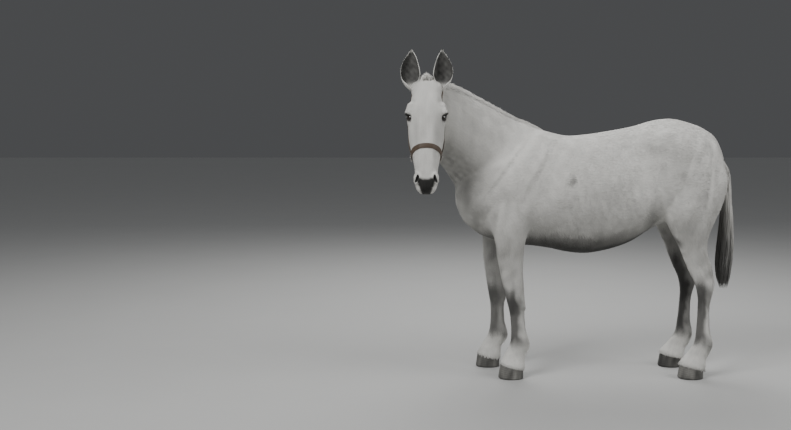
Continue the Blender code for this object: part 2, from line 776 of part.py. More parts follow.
def tail(collection):
    """The dock inside, and locks over it in staggered rows, down to the hocks."""
    rings = []
    for z, x, reach, half in smooth_rows(TAIL, 16)[2:]:
        share = 0.80 + 0.16 * eased(1.15, 1.30, z)
        rings.append(section((x, 0, z), (0, 1, 0), (1, 0, 0), half * share, reach * share, reach * share, 10))
    core = loft("tail", rings, collection)
    rng = np.random.default_rng(7)
    locks = []
    for row, top in enumerate(np.linspace(1.27, 0.70, TAIL_ROWS)):
        for i in range(TAIL_LOCKS):
            angle = 2 * math.pi * (i + 0.5 * (row % 2) + rng.uniform(-0.15, 0.15)) / TAIL_LOCKS
            length = min(rng.uniform(0.28, 0.36), top - 0.53 - rng.uniform(0.0, 0.05))
            locks.append(tail_lock(top, angle, length, rng, collection))
    return combined(core, locks, "UNION", "MANIFOLD")


def crest_at(share):
    """Crest point, and the ways up, back along the crest and aside, from shoulders (0) to poll (1)."""
    crest, under, side, _ = neck_stations(60)
    i = share * 59
    low = min(int(i), 58)
    point = Vector(crest[low]).lerp(Vector(crest[low + 1]), i - low)
    up = Vector(crest[low] - under[low]).normalized()
    back = Vector(crest[low] - crest[low + 1]).normalized()
    return point, up, back, Vector(side[low])


def mane(neck, collection):
    """The clipped mane: short blunt locks that stand on the crest and lean back a little."""
    rng = np.random.default_rng(11)
    locks = []
    for i, share in enumerate(np.linspace(*MANE_SPAN, MANE_LOCKS)):
        point, up, back, side = crest_at(share)
        height = MANE_HEIGHT * (0.35 + 0.65 * eased(MANE_SPAN[0], MANE_SPAN[0] + 0.25, share))
        height *= rng.uniform(0.9, 1.12)
        aside = side * (0.006 * (-1) ** i)
        lean = back * rng.uniform(0.15, 0.45) + side * rng.uniform(-0.12, 0.12)
        path = [point + aside + up * (height * t - 0.022 * (1 - t)) + lean * height * t for t in (0, 0.4, 0.75, 1)]
        width = rng.uniform(0.066, 0.080)
        locks.append(lock(path, [back] * 4, width, rng.uniform(0.024, 0.030), collection, 4.0))
    return combined(neck, locks, "UNION", "MANIFOLD")


def forelock(head, collection):
    """The clipped tuft between the ears: short locks that stand up and fan out from the poll."""
    rng = np.random.default_rng(5)
    locks = []
    for row, (out, lift) in enumerate(((-0.045, 0.30), (-0.070, 0.0), (-0.092, -0.25))):
        for i in range(FORELOCK_LOCKS):
            aside = (i - (FORELOCK_LOCKS - 1) / 2 + 0.5 * (row % 2)) * 0.016
            root = on_head(0.018, aside, out)
            way = (-DOWN_FACE + LEFT * aside * 12 + OUT_OF_FACE * lift).normalized()
            reach = 0.055 * rng.uniform(0.94, 1.04) - abs(aside) * 0.45
            path = [root + way * reach * t for t in (0, 0.4, 0.75, 1)]
            locks.append(lock(path, [LEFT] * 4, 0.030, 0.020, collection, 4.0))
    return combined(head, locks, "UNION", "MANIFOLD")


# Hooves


def coronet(rows, stagger, pivot):
    """Middle and mean height of the coronet, and its slope from toe down to heel."""
    row = rows[-2]
    middle = (row.front + row.back) / 2 - lean_at(row.z, stagger, pivot)
    slope = math.atan2(TOE_HEIGHT - HEEL_HEIGHT, row.back - row.front)
    return middle, (TOE_HEIGHT + HEEL_HEIGHT) / 2, slope


def hoof(name, rows, side, stagger, pivot, collection):
    """The horn: round at the toe, straighter at the heels, flaring down to a flat sole."""
    middle, height, slope = coronet(rows, stagger, pivot)
    aside = side * rows[-2].aside
    clear = GAP / math.cos(slope)
    rings = []
    for t, bevel in ((0.0, 0.004), (0.08, 0.0), (0.5, 0.0), (1.0, 0.0)):
        reach = 0.075 + 0.007 * (1 - t) - bevel
        half = 0.055 + 0.011 * (1 - t) - bevel
        centre = middle - 0.006 * (1 - t)
        ring = []
        for angle in np.linspace(0, 2 * math.pi, 22, endpoint=False):
            heel = 0.90 if math.cos(angle) < 0 else 1.0
            x = centre - reach * heel * math.cos(angle)
            y = aside + half * math.copysign(abs(math.sin(angle)) ** 0.85, math.sin(angle))
            ring.append((x, y, t * (height - clear - math.tan(slope) * (x - middle))))
        rings.append(ring)
    return triangulated(loft(name, rings, collection))


# Head collar


def resampled(rows, count, cyclic):
    """Rows at equal steps along a polyline, whose points are the first three columns."""
    rows = np.array(rows)
    if cyclic:
        rows = np.vstack([rows, rows[:1]])
    steps = np.linalg.norm(np.diff(rows[:, :3], axis=0), axis=1)
    distance = np.concatenate([[0], np.cumsum(steps)])
    at = np.linspace(0, distance[-1], count + 1 if cyclic else count)
    made = np.stack([np.interp(at, distance, column) for column in rows.T], axis=1)
    return made[:-1] if cyclic else made


def averaged(rows, cyclic):
    """Each row moved halfway to the middle of its neighbours."""
    moved = rows * 0.5 + (np.roll(rows, 1, axis=0) + np.roll(rows, -1, axis=0)) * 0.25
    if not cyclic:
        moved[0], moved[-1] = rows[0], rows[-1]
    return moved


def slackened(points, cyclic, rounds=4):
    """A strap bridges dips: its points are averaged only where that takes them further out."""
    centre = points.mean(axis=0)
    for _ in range(rounds):
        moved = averaged(points, cyclic)
        further = np.linalg.norm(moved - centre, axis=1) > np.linalg.norm(points - centre, axis=1)
        points = np.where(further[:, None], moved, points)
    return points


def strap(name, points, inward, cyclic, collection, width=STRAP_WIDTH):
    """A flat band along points; inward gives the way to the skin under each."""
    count = len(points)
    rings = []
    for i in range(count):
        before = points[(i - 1) % count] if cyclic or i else points[i]
        after = points[(i + 1) % count] if cyclic or i < count - 1 else points[i]
        along = Vector(after - before).normalized()
        down = Vector(inward[i])
        down = (down - along * down.dot(along)).normalized()
        across = along.cross(down).normalized() * (width / 2)
        top = Vector(points[i]) - down * (STRAP_THICKNESS + 0.002)
        base = Vector(points[i]) + down * 0.005
        rings.append([base - across, base + across, top + across, top - across])
    if not cyclic:
        return triangulated(loft(name, rings, collection))
    bm = bmesh.new()
    corners = [[bm.verts.new(point) for point in ring] for ring in rings]
    for i in range(count):
        here, there = corners[i], corners[(i + 1) % count]
        for j in range(4):
            k = (j + 1) % 4
            bm.faces.new((here[j], here[k], there[k], there[j]))
    return triangulated(mesh_object(name, bm, collection))


def noseband_point(trees, angle):
    """Where the noseband crosses the skin, at an angle round the muzzle from the front."""
    centre = on_head(0.447 - 0.044 * math.cos(angle), 0, -0.09)
    way = OUT_OF_FACE * math.cos(angle) + LEFT * math.sin(angle)
    hit, normal, _, _ = trees[0].ray_cast(centre + way * 0.3, -way)
    return hit, -normal


def headpiece_point(trees, angle):
    """Where the cheek straps and crown cross the skin, at an angle from straight up."""
    crown_way = (-DOWN_FACE - OUT_OF_FACE * 0.06).normalized()
    way = crown_way * math.cos(angle) + LEFT * math.sin(angle)
    start = on_head(0.25, 0, -0.118) + way * 0.5
    hit, normal, _, _ = trees[0].ray_cast(start, -way)
    over, over_normal, _, _ = trees[1].ray_cast(start, -way)
    if (over - hit).length < 0.03:
        hit, normal = over, over_normal
    return hit, -normal


def laid_strap(name, where, trees, angles, count, cyclic, collection, width=STRAP_WIDTH):
    """A strap through the points that where(trees, angle) finds on the skin."""
    found = [where(trees, angle) for angle in angles]
    rows = resampled([[*hit, *way] for hit, way in found], count, cyclic)
    ways = averaged(averaged(rows[:, 3:], cyclic), cyclic)
    return strap(name, slackened(rows[:, :3], cyclic), ways, cyclic, collection, width)


def ring_on(name, centre, out, collection):
    """A steel ring lying flat on the straps."""
    bpy.ops.mesh.primitive_torus_add(
        major_radius=RING_RADIUS,
        minor_radius=RING_WIRE,
        major_segments=14,
        minor_segments=5,
        location=centre + out * (STRAP_THICKNESS + RING_WIRE + 0.0030),
        rotation=out.to_track_quat("Z", "Y").to_euler(),
    )
    made = bpy.context.object
    made.name = name
    for owner in list(made.users_collection):
        owner.objects.unlink(made)
    collection.objects.link(made)
    made.data.transform(made.matrix_world)
    made.matrix_world = Matrix.Identity(4)
    return triangulated(made)


# Dividing the body


def leg_region(side, fore, grow, collection):
    """What belongs to a leg: below a plane that slopes up and out from the armpit or groin."""
    inner_height, slope = (0.815, 0.80) if fore else (0.900, 0.75)
    middle_x, length = (0.262, 0.45) if fore else (1.46, 0.50)
    turn = Euler((math.atan(slope) * side, 0, 0)).to_matrix()
    on_plane = Vector((middle_x, side * 0.15, inner_height + slope * 0.13))
    size = (length, 3.0, 3.0)
    below = block("leg_region", on_plane + turn @ Vector((0, 0, -1.5)), size, turn, collection, grow)
    half_size = (3.0, 1.0, 3.0)
    half = block("half", (0.8, side * 0.512, 0.5), half_size, Matrix.Identity(3), collection, grow)
    return combined(below, [half], "INTERSECT")


def neck_region(grow, collection):
    """Everything ahead of a plane from the withers down to the base of the throat."""
    low, high = Vector((0.005, 0, 1.175)), Vector((0.500, 0, 1.540))
    slope = math.atan2(high.x - low.x, high.z - low.z)
    turn = Euler((0, slope, 0)).to_matrix()
    middle = (low + high) / 2 + turn @ Vector((-0.75, 0, 0))
    return block("neck_region", middle, (1.5, 3.0, 3.0), turn, collection, grow)


def head_region(grow, collection):
    """Everything ahead of a plane from behind the ears down behind the jaw."""
    top, bottom = on_head(-0.02, 0, -0.130), on_head(0.22, 0, -0.296)
    along = (bottom - top).normalized()
    out = Matrix.Rotation(math.radians(-25), 3, "Z") @ OUT_OF_FACE
    out = (out - along * out.dot(along)).normalized()
    turn = Matrix((out, along.cross(out), along)).transposed()
    return block("head_region", (top + bottom) / 2 + out * 0.3, (0.6, 0.8, 1.6), turn, collection, grow)


def hoof_region(rows, side, stagger, pivot, grow, collection):
    """Everything under the coronet of one foot."""
    middle, height, slope = coronet(rows, stagger, pivot)
    turn = Euler((0, slope, 0)).to_matrix()
    centre = Vector((middle, side * rows[-2].aside, height)) + turn @ Vector((0, 0, -0.1))
    return block("hoof_region", centre, (0.3, 0.24, 0.2), turn, collection, grow)


def divided(body, name, region, collection):
    """Takes what lies in a region out of body as a node of its own, with a thin gap between them.

    The exact solver leaves an open edge on the head here, so these two are manifold ones.
    """
    taken = copy_of(body, name, collection)
    combined(taken, [region(0.0)], "INTERSECT", "MANIFOLD")
    combined(body, [region(GAP)], "DIFFERENCE", "MANIFOLD")
    return taken


def cleared(obj, neighbours, cutters, gap=GAP):
    """Cuts obj so that it keeps a gap to each neighbour; the exact solver leaves open edges here."""
    return combined(obj, [swollen(other, gap, cutters) for other in neighbours], "DIFFERENCE", "MANIFOLD")


# Assembly


def flesh(nodes, cutters):
    """Head, neck, torso, legs and hooves."""
    body = body_surface(nodes)
    head = head_surface(nodes)
    head_tree = surface_tree(head)
    combined(body, [head], "UNION")
    body_tree = surface_tree(body)
    made = {}
    for name, rows, side, stagger, pivot in leg_settings():
        combined(body, [hoof_region(rows, side, stagger, pivot, 0.0, cutters)], "DIFFERENCE")
        made["hoof_" + name] = hoof("hoof_" + name, rows, side, stagger, pivot, nodes)
    made["head"] = divided(body, "head", lambda grow: head_region(grow, cutters), nodes)
    made["neck"] = divided(body, "neck", lambda grow: neck_region(grow, cutters), nodes)
    for name, _, side, _, _ in leg_settings():
        fore = name.startswith("fore")
        made["leg_" + name] = divided(
            body, "leg_" + name, lambda grow: leg_region(side, fore, grow, cutters), nodes
        )
    body.name = "torso"
    made["torso"] = body
    return made, (head_tree, body_tree)


def head_details(head, tree, cutters):
    """Lids and forelock on the head; eye sockets, nostrils and mouth line in it."""
    forelock(head, cutters)
    combined(head, [lid_rim(side, cutters) for side in (-1, 1)], "UNION")
    holes = [mouth_cutter(tree, cutters)]
    for side in (-1, 1):
        holes += eye_cutters(side, cutters) + [nostril_cutter(side, cutters)]
    combined(head, holes, "DIFFERENCE")


def head_collar(made, trees, nodes, cutters):
    """Noseband, headpiece and the three rings, cut clear of the skin and each other."""
    circle = np.linspace(0, 2 * math.pi, 60, endpoint=False)
    over_poll = np.radians(np.linspace(-156, 156, 120))
    bands = [
        laid_strap("halter_noseband", noseband_point, trees, circle, 22, True, nodes),
        laid_strap("halter_headpiece", headpiece_point, trees, over_poll, 24, False, nodes, 0.024),
    ]
    for place, angle in (("left", 100), ("right", -100), ("chin", 180)):
        centre, inward = noseband_point(trees, math.radians(angle))
        bands.append(ring_on("halter_ring_" + place, centre, -inward, nodes))
    laid = [made["head"], made["neck"], made["ear_left"], made["ear_right"]]
    for band in bands:
        made[band.name] = cleared(band, laid, cutters, STRAP_GAP)
        laid.append(band)


def placed(made):
    """Moves everything so that the origin is on the floor under the middle, and shades it smooth."""
    points = np.array([vert.co[:] for obj in made.values() for vert in obj.data.vertices])
    low, high = points.min(axis=0), points.max(axis=0)
    for obj in made.values():
        obj.location = (-(low[0] + high[0]) / 2, -(low[1] + high[1]) / 2, 0)
        obj.data.shade_smooth()
        obj.data.set_sharp_from_angle(angle=math.radians(50))


def build():
    nodes, cutters = start_scene()
    made, trees = flesh(nodes, cutters)
    mane(made["neck"], cutters)
    combined(made["neck"], [neck_region(0.0, cutters)], "INTERSECT", "MANIFOLD")
    combined(made["neck"], [head_region(GAP, cutters)], "DIFFERENCE", "MANIFOLD")
    head_details(made["head"], trees[0], cutters)
    for side, name in ((1, "left"), (-1, "right")):
        radii = (EYE_RADIUS,) * 3
        made["eye_" + name] = ball("eye_" + name, eye_centre(side), radii, Matrix.Identity(3), nodes, 14, 8)
        made["ear_" + name] = cleared(
            ear(side, "ear_" + name, nodes), [made["head"], made["neck"]], cutters
        )
    made["tail"] = cleared(tail(nodes), [made["torso"]], cutters)
    head_collar(made, trees, nodes, cutters)

    coat = finish("pale_coat", (0.74, 0.73, 0.70), 0.75)
    looks = {
        "hoof": finish("hoof_horn", (0.16, 0.15, 0.14), 0.5),
        "eye": finish("eye", (0.02, 0.015, 0.012), 0.08),
        "tail": finish("tail_hair", (0.45, 0.44, 0.42), 0.7),
        "halter": finish("strap_leather", (0.16, 0.11, 0.08), 0.55),
    }
    steel = finish("ring_steel", (0.45, 0.45, 0.44), 0.35, 1.0)
    for name, obj in made.items():
        obj.data.materials.clear()
        obj.data.materials.append(steel if "ring" in name else looks.get(name.split("_")[0], coat))
        triangulated(obj)
    for cutter in list(cutters.objects):
        bpy.data.objects.remove(cutter)
    placed(made)
    counts = {name: len(obj.data.polygons) for name, obj in made.items()}
    print(counts, sum(counts.values()))


build()
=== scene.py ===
# A pale mule, life size, standing with its neck bent to its left, in a leather head collar.
#
# The shapes are worked out in the body's own measures: x runs from the breast (0) back to the
# buttocks, -y is the mule's left and z is up from the floor. toFrame moves them to the frame.

import math

import bmesh
import bpy
import numpy as np
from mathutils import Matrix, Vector
from mathutils.bvhtree import BVHTree


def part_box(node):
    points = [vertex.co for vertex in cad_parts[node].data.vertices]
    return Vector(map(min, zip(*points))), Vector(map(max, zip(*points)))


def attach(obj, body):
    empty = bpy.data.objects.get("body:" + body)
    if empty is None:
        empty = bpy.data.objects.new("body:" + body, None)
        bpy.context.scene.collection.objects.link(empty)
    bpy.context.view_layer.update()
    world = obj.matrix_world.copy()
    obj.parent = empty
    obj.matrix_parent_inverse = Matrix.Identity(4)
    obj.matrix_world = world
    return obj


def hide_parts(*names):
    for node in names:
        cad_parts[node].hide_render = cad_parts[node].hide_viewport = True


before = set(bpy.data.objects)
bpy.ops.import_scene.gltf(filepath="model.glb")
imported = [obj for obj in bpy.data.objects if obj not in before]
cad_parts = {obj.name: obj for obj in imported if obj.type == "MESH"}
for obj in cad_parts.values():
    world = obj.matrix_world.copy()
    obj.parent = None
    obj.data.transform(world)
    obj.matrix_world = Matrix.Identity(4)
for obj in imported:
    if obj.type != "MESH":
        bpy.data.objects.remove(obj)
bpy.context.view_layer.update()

up = np.array((0.0, 0.0, 1.0))
aft = np.array((1.0, 0.0, 0.0))
rightward = np.array((0.0, 1.0, 0.0))
fineness = {"torso": (90, 48), "neck": (60, 44), "head": (90, 48), "legs": (140, 36)}  # rings, points in each


# Small tools

def unit(vectors):
    # each vector at length 1
    vectors = np.asarray(vectors, float)
    length = np.linalg.norm(vectors, axis=-1, keepdims=True)
    return vectors / np.maximum(length, 1e-9)


def eased(low, high, value):
    # 0 below low, 1 above high, and 3t2 - 2t3 between them
    t = np.clip((value - low) / (high - low), 0.0, 1.0)
    return t * t * (3 - 2 * t)


def bell(value, width):
    # a bell curve: 1 in the middle, 0.37 at one width away
    return np.exp(-((value / width) ** 2))


def dot(vectors, way):
    # how far each vector reaches along a way
    return np.sum(vectors * way, axis=-1)


def flattened(vectors, normals):
    # the part of each vector that lies in the surface, at length 1
    return unit(vectors - normals * dot(vectors, normals)[..., None])


def smoothRows(rows, count):
    # even steps along cubic curves through the rows; the first column is the place, and the
    # slope at each row is the mean slope of its two neighbours
    table = np.array(rows, float)
    if table[0, 0] > table[-1, 0]:
        table = table[::-1]
    place = table[:, 0]
    slope = np.gradient(table, place, axis=0)
    at = np.linspace(place[0], place[-1], count)
    left = np.clip(np.searchsorted(place, at, side="right") - 1, 0, len(place) - 2)
    span = (place[left + 1] - place[left])[:, None]
    t = (at - place[left])[:, None] / span
    return (
        (2 * t**3 - 3 * t**2 + 1) * table[left]
        + (t**3 - 2 * t**2 + t) * span * slope[left]
        + (3 * t**2 - 2 * t**3) * table[left + 1]
        + (t**3 - t**2) * span * slope[left + 1]
    )


def turnY(degrees):
    # the matrix of a turn about y
    angle = math.radians(degrees)
    c, s = math.cos(angle), math.sin(angle)
    return np.array(((c, 0, s), (0, 1, 0), (-s, 0, c)))


# Shapes as arrays: a shape is its points and a list of face tables

def gridFaces(rows, columns, wrap):
    # the four corners of each cell; the last column joins the first where the grid wraps
    index = np.arange(rows * columns).reshape(rows, columns)
    right = np.roll(index, -1, axis=1)
    if not wrap:
        index, right = index[:, :-1], right[:, :-1]
    cells = (index[:-1], right[:-1], right[1:], index[1:])
    return np.stack([c.ravel() for c in cells], axis=1)


def gridShape(grid):
    # a grid of points closed round its columns, each end closed by a fan to the ring's middle
    rows, columns = grid.shape[:2]
    first = np.arange(columns)
    last = first + (rows - 1) * columns
    low = np.full(columns, rows * columns)
    poles = np.array((grid[0].mean(axis=0), grid[-1].mean(axis=0)))
    faces = [
        gridFaces(rows, columns, True),
        np.stack([low, np.roll(first, -1), first], axis=1),
        np.stack([low + 1, last, np.roll(last, -1)], axis=1),
    ]
    return np.vstack([grid.reshape(-1, 3), poles]), faces


def ringShape(grid):
    # a grid of points whose last row joins its first as well, as on a band or a torus
    rows, columns = grid.shape[:2]
    index = np.arange(rows * columns).reshape(rows, columns)
    right = np.roll(index, -1, axis=1)
    cells = (index, right, np.roll(right, -1, axis=0), np.roll(index, -1, axis=0))
    return outward((grid.reshape(-1, 3), [np.stack([c.ravel() for c in cells], axis=1)]))


def volumeOf(points, faces):
    # six times the signed volume, from fans of each face
    total = 0.0
    for table in faces:
        for k in range(1, table.shape[1] - 1):
            a, b, c = points[table[:, 0]], points[table[:, k]], points[table[:, k + 1]]
            total += np.sum(np.cross(a, b) * c)
    return total


def outward(shape):
    # the faces are turned over where the shape is inside out
    points, faces = shape
    if volumeOf(points, faces) < 0:
        faces = [table[:, ::-1] for table in faces]
    return points, faces


def merged(shapes):
    # many shapes as one, their points numbered on from shape to shape
    points, faces, offset = [], [], 0
    for shapePoints, shapeFaces in shapes:
        points.append(shapePoints)
        faces += [table + offset for table in shapeFaces]
        offset += len(shapePoints)
    return np.vstack(points), faces


def makeMesh(name, shape):
    # a mesh from whole arrays: points, corners and each face's first corner
    points, faces = shape
    mesh = bpy.data.meshes.new(name)
    corners = np.concatenate([table.ravel() for table in faces])
    sizes = np.concatenate([np.full(len(table), table.shape[1]) for table in faces])
    starts = np.concatenate([[0], np.cumsum(sizes)[:-1]])
    mesh.vertices.add(len(points))
    mesh.vertices.foreach_set("co", np.asarray(points, np.float32).ravel())
    mesh.loops.add(len(corners))
    mesh.loops.foreach_set("vertex_index", corners.astype(np.int32))
    mesh.polygons.add(len(sizes))
    mesh.polygons.foreach_set("loop_start", starts.astype(np.int32))
    mesh.update(calc_edges=True)
    mesh.validate()
    return mesh


def makeObject(name, shape, material=None):
    made = bpy.data.objects.new(name, makeMesh(name, shape))
    bpy.context.scene.collection.objects.link(made)
    made.data.shade_smooth()
    if material:
        made.data.materials.append(material)
    return made


def applied(made):
    # the modifiers' result becomes the object's own mesh
    graph = bpy.context.evaluated_depsgraph_get()
    mesh = bpy.data.meshes.new_from_object(made.evaluated_get(graph), depsgraph=graph)
    made.modifiers.clear()
    made.data = mesh
    return made


def readRows(rows, field, width, kind):
    # one field of all of a mesh's rows
    values = np.empty(len(rows) * width, kind)
    rows.foreach_get(field, values)
    return values.reshape(-1, width)


def pointsOf(mesh):
    return readRows(mesh.vertices, "co", 3, np.float32).astype(float)


def normalsOf(mesh):
    return readRows(mesh.vertex_normals, "vector", 3, np.float32).astype(float)


def edgesOf(mesh):
    return readRows(mesh.edges, "vertices", 2, np.int32)


def trianglesOf(mesh):
    mesh.calc_loop_triangles()
    return readRows(mesh.loop_triangles, "vertices", 3, np.int32)


def movePoints(mesh, points):
    mesh.vertices.foreach_set("co", np.asarray(points, np.float32).ravel())
    mesh.update()


def relaxed(points, edges, rounds, weight):
    # in each round a point moves half its weight of the way to the mean of its neighbours
    count = len(points)
    a, b = edges.T
    degree = np.maximum(np.bincount(a, minlength=count) + np.bincount(b, minlength=count), 1)
    step = (0.5 * weight / degree)[:, None]
    for _ in range(rounds):
        near = [np.bincount(a, points[b, k], count) + np.bincount(b, points[a, k], count) for k in range(3)]
        points = points + np.stack(near, axis=1) * step - points * (step * degree[:, None])
    return points


def treeOf(mesh):
    # the mesh as a tree that rays can meet
    bm = bmesh.new()
    bm.from_mesh(mesh)
    tree = BVHTree.FromBMesh(bm)
    bm.free()
    return tree


def setAttribute(mesh, name, kind, values):
    attribute = mesh.attributes.new(name, kind, "POINT")
    field = "vector" if kind == "FLOAT_VECTOR" else "color"
    attribute.data.foreach_set(field, np.asarray(values, np.float32).ravel())


def asColour(tone, warmth):
    # a grey of this lightness, a little warmer than neutral, with full alpha
    tone = np.clip(tone, 0.0, 1.0)
    return np.stack([tone, tone * (1 - warmth * 0.5), tone * (1 - warmth * 2), np.ones_like(tone)], axis=-1)


def writeTone(mesh, tone, warmth=0.035):
    setAttribute(mesh, "tone", "FLOAT_COLOR", asColour(tone, warmth))


def writeUnwrap(mesh, places):
    # every corner of a face takes its point's place in the unit square
    corners = readRows(mesh.loops, "vertex_index", 1, np.int32)[:, 0]
    layer = mesh.uv_layers.new(name="OFBake")
    layer.data.foreach_set("uv", places[corners].astype(np.float32).ravel())


def distanceAlong(path):
    # metres along a line of points up to each of them
    return np.concatenate([[0], np.cumsum(np.linalg.norm(np.diff(path, axis=0), axis=1))])


# Measures of the body

body = {
    # back line, height of the widest point, belly line, half width, fullness
    "torso": [
        (0.000, 1.205, 1.125, 1.078, 0.070, 1.00),
        (0.032, 1.255, 1.120, 0.998, 0.122, 1.00),
        (0.080, 1.310, 1.115, 0.940, 0.164, 1.00),
        (0.155, 1.375, 1.120, 0.882, 0.198, 1.00),
        (0.270, 1.445, 1.130, 0.842, 0.216, 1.00),
        (0.400, 1.500, 1.140, 0.820, 0.228, 1.08),
        (0.500, 1.546, 1.140, 0.810, 0.238, 1.15),
        (0.590, 1.527, 1.140, 0.797, 0.250, 1.12),
        (0.680, 1.506, 1.130, 0.778, 0.265, 1.00),
        (0.800, 1.512, 1.125, 0.766, 0.282, 0.94),
        (0.950, 1.534, 1.130, 0.788, 0.288, 0.94),
        (1.100, 1.563, 1.150, 0.842, 0.279, 0.98),
        (1.230, 1.601, 1.190, 0.925, 0.264, 1.04),
        (1.330, 1.611, 1.220, 0.965, 0.253, 1.06),
        (1.440, 1.588, 1.240, 0.980, 0.239, 1.04),
        (1.540, 1.548, 1.240, 1.000, 0.208, 1.00),
        (1.615, 1.488, 1.235, 1.050, 0.162, 1.00),
        (1.660, 1.400, 1.240, 1.120, 0.090, 1.00),
    ],
    # crest, under line and half thickness, from the shoulders to the poll
    "neck": [
        (0.660, 0.000, 1.430, 0.130, 0.000, 0.930, 0.150),
        (0.540, 0.000, 1.532, 0.035, 0.000, 1.100, 0.150),
        (0.445, -0.004, 1.582, 0.002, -0.010, 1.172, 0.142),
        (0.362, -0.028, 1.610, -0.030, -0.038, 1.224, 0.130),
        (0.270, -0.070, 1.656, -0.066, -0.072, 1.278, 0.118),
        (0.116, -0.150, 1.733, -0.118, -0.115, 1.352, 0.102),
        (0.020, -0.215, 1.780, -0.152, -0.155, 1.430, 0.092),
        (-0.075, -0.280, 1.812, -0.182, -0.190, 1.510, 0.078),
        (-0.152, -0.300, 1.808, -0.196, -0.225, 1.570, 0.054),
    ],
    # muscles: middle, radii and pitch, on both sides
    "masses": [
        (0.135, 0.080, 1.040, 0.085, 0.078, 0.110, 0),
        (0.175, 0.150, 1.090, 0.080, 0.068, 0.085, 0),
        (0.400, 0.155, 1.060, 0.105, 0.075, 0.120, 20),
        (1.350, 0.130, 1.400, 0.220, 0.115, 0.150, 8),
        (1.450, 0.145, 1.210, 0.165, 0.106, 0.260, 0),
        (1.575, 0.088, 1.200, 0.070, 0.070, 0.200, 0),
    ],
    # swells and hollows of the flanks: place, reach, pitch and height
    "reliefs": [
        (0.385, 1.270, 0.090, 0.250, 36, 0.018),
        (0.560, 1.200, 0.055, 0.200, 20, -0.009),
        (0.175, 1.090, 0.065, 0.070, 0, 0.010),
        (0.410, 1.050, 0.095, 0.080, 0, 0.014),
        (0.300, 0.880, 0.060, 0.080, 0, 0.010),
        (1.165, 1.455, 0.055, 0.045, 0, 0.022),
        (1.115, 1.260, 0.065, 0.110, 0, -0.016),
        (1.270, 1.300, 0.060, 0.120, 20, -0.008),
        (1.310, 1.020, 0.060, 0.080, 0, 0.012),
        (1.480, 0.900, 0.060, 0.080, 25, 0.008),
    ],
}

legs = {
    # front line, back line, distance from the middle and half width, by height
    "fore": [
        (1.150, 0.150, 0.470, 0.145, 0.060), (1.050, 0.150, 0.470, 0.156, 0.078),
        (0.960, 0.192, 0.452, 0.162, 0.082), (0.880, 0.226, 0.430, 0.160, 0.074),
        (0.770, 0.245, 0.415, 0.153, 0.061), (0.670, 0.266, 0.412, 0.149, 0.052),
        (0.580, 0.288, 0.419, 0.148, 0.048), (0.520, 0.303, 0.423, 0.148, 0.050),
        (0.480, 0.314, 0.427, 0.148, 0.052), (0.440, 0.325, 0.427, 0.148, 0.050),
        (0.400, 0.333, 0.425, 0.148, 0.041), (0.350, 0.339, 0.430, 0.148, 0.036),
        (0.300, 0.342, 0.438, 0.148, 0.036), (0.260, 0.342, 0.450, 0.148, 0.040),
        (0.225, 0.338, 0.461, 0.148, 0.046), (0.185, 0.322, 0.457, 0.148, 0.044),
        (0.150, 0.303, 0.438, 0.148, 0.040), (0.118, 0.287, 0.430, 0.148, 0.047),
        (0.090, 0.276, 0.432, 0.148, 0.056), (0.030, 0.270, 0.428, 0.148, 0.056),
    ],
    "hind": [
        (1.340, 1.260, 1.640, 0.118, 0.075), (1.240, 1.232, 1.660, 0.134, 0.104),
        (1.130, 1.238, 1.640, 0.150, 0.110), (1.040, 1.262, 1.608, 0.156, 0.102),
        (0.975, 1.285, 1.579, 0.155, 0.092), (0.900, 1.320, 1.552, 0.151, 0.078),
        (0.820, 1.366, 1.545, 0.145, 0.062), (0.760, 1.393, 1.556, 0.142, 0.052),
        (0.700, 1.420, 1.578, 0.140, 0.046), (0.650, 1.445, 1.588, 0.138, 0.044),
        (0.600, 1.472, 1.597, 0.137, 0.046), (0.550, 1.489, 1.592, 0.137, 0.048),
        (0.500, 1.498, 1.580, 0.138, 0.044), (0.440, 1.498, 1.572, 0.139, 0.037),
        (0.360, 1.496, 1.574, 0.140, 0.035), (0.300, 1.492, 1.580, 0.141, 0.036),
        (0.260, 1.490, 1.589, 0.142, 0.040), (0.225, 1.483, 1.595, 0.143, 0.045),
        (0.185, 1.460, 1.590, 0.144, 0.043), (0.150, 1.433, 1.576, 0.145, 0.039),
        (0.118, 1.405, 1.562, 0.146, 0.046), (0.090, 1.388, 1.560, 0.147, 0.055),
        (0.030, 1.380, 1.554, 0.147, 0.055),
    ],
    # each leg: rows, side (-1 is the mule's left), how far its foot stands ahead, from what height
    "each": {
        "fore_left": ("fore", -1, 0.0, 1.10), "fore_right": ("fore", 1, 0.122, 1.10),
        "hind_left": ("hind", -1, 0.0, 0.95), "hind_right": ("hind", 1, 0.047, 0.95),
    },
    "toeHeight": 0.094, "heelHeight": 0.050,
}

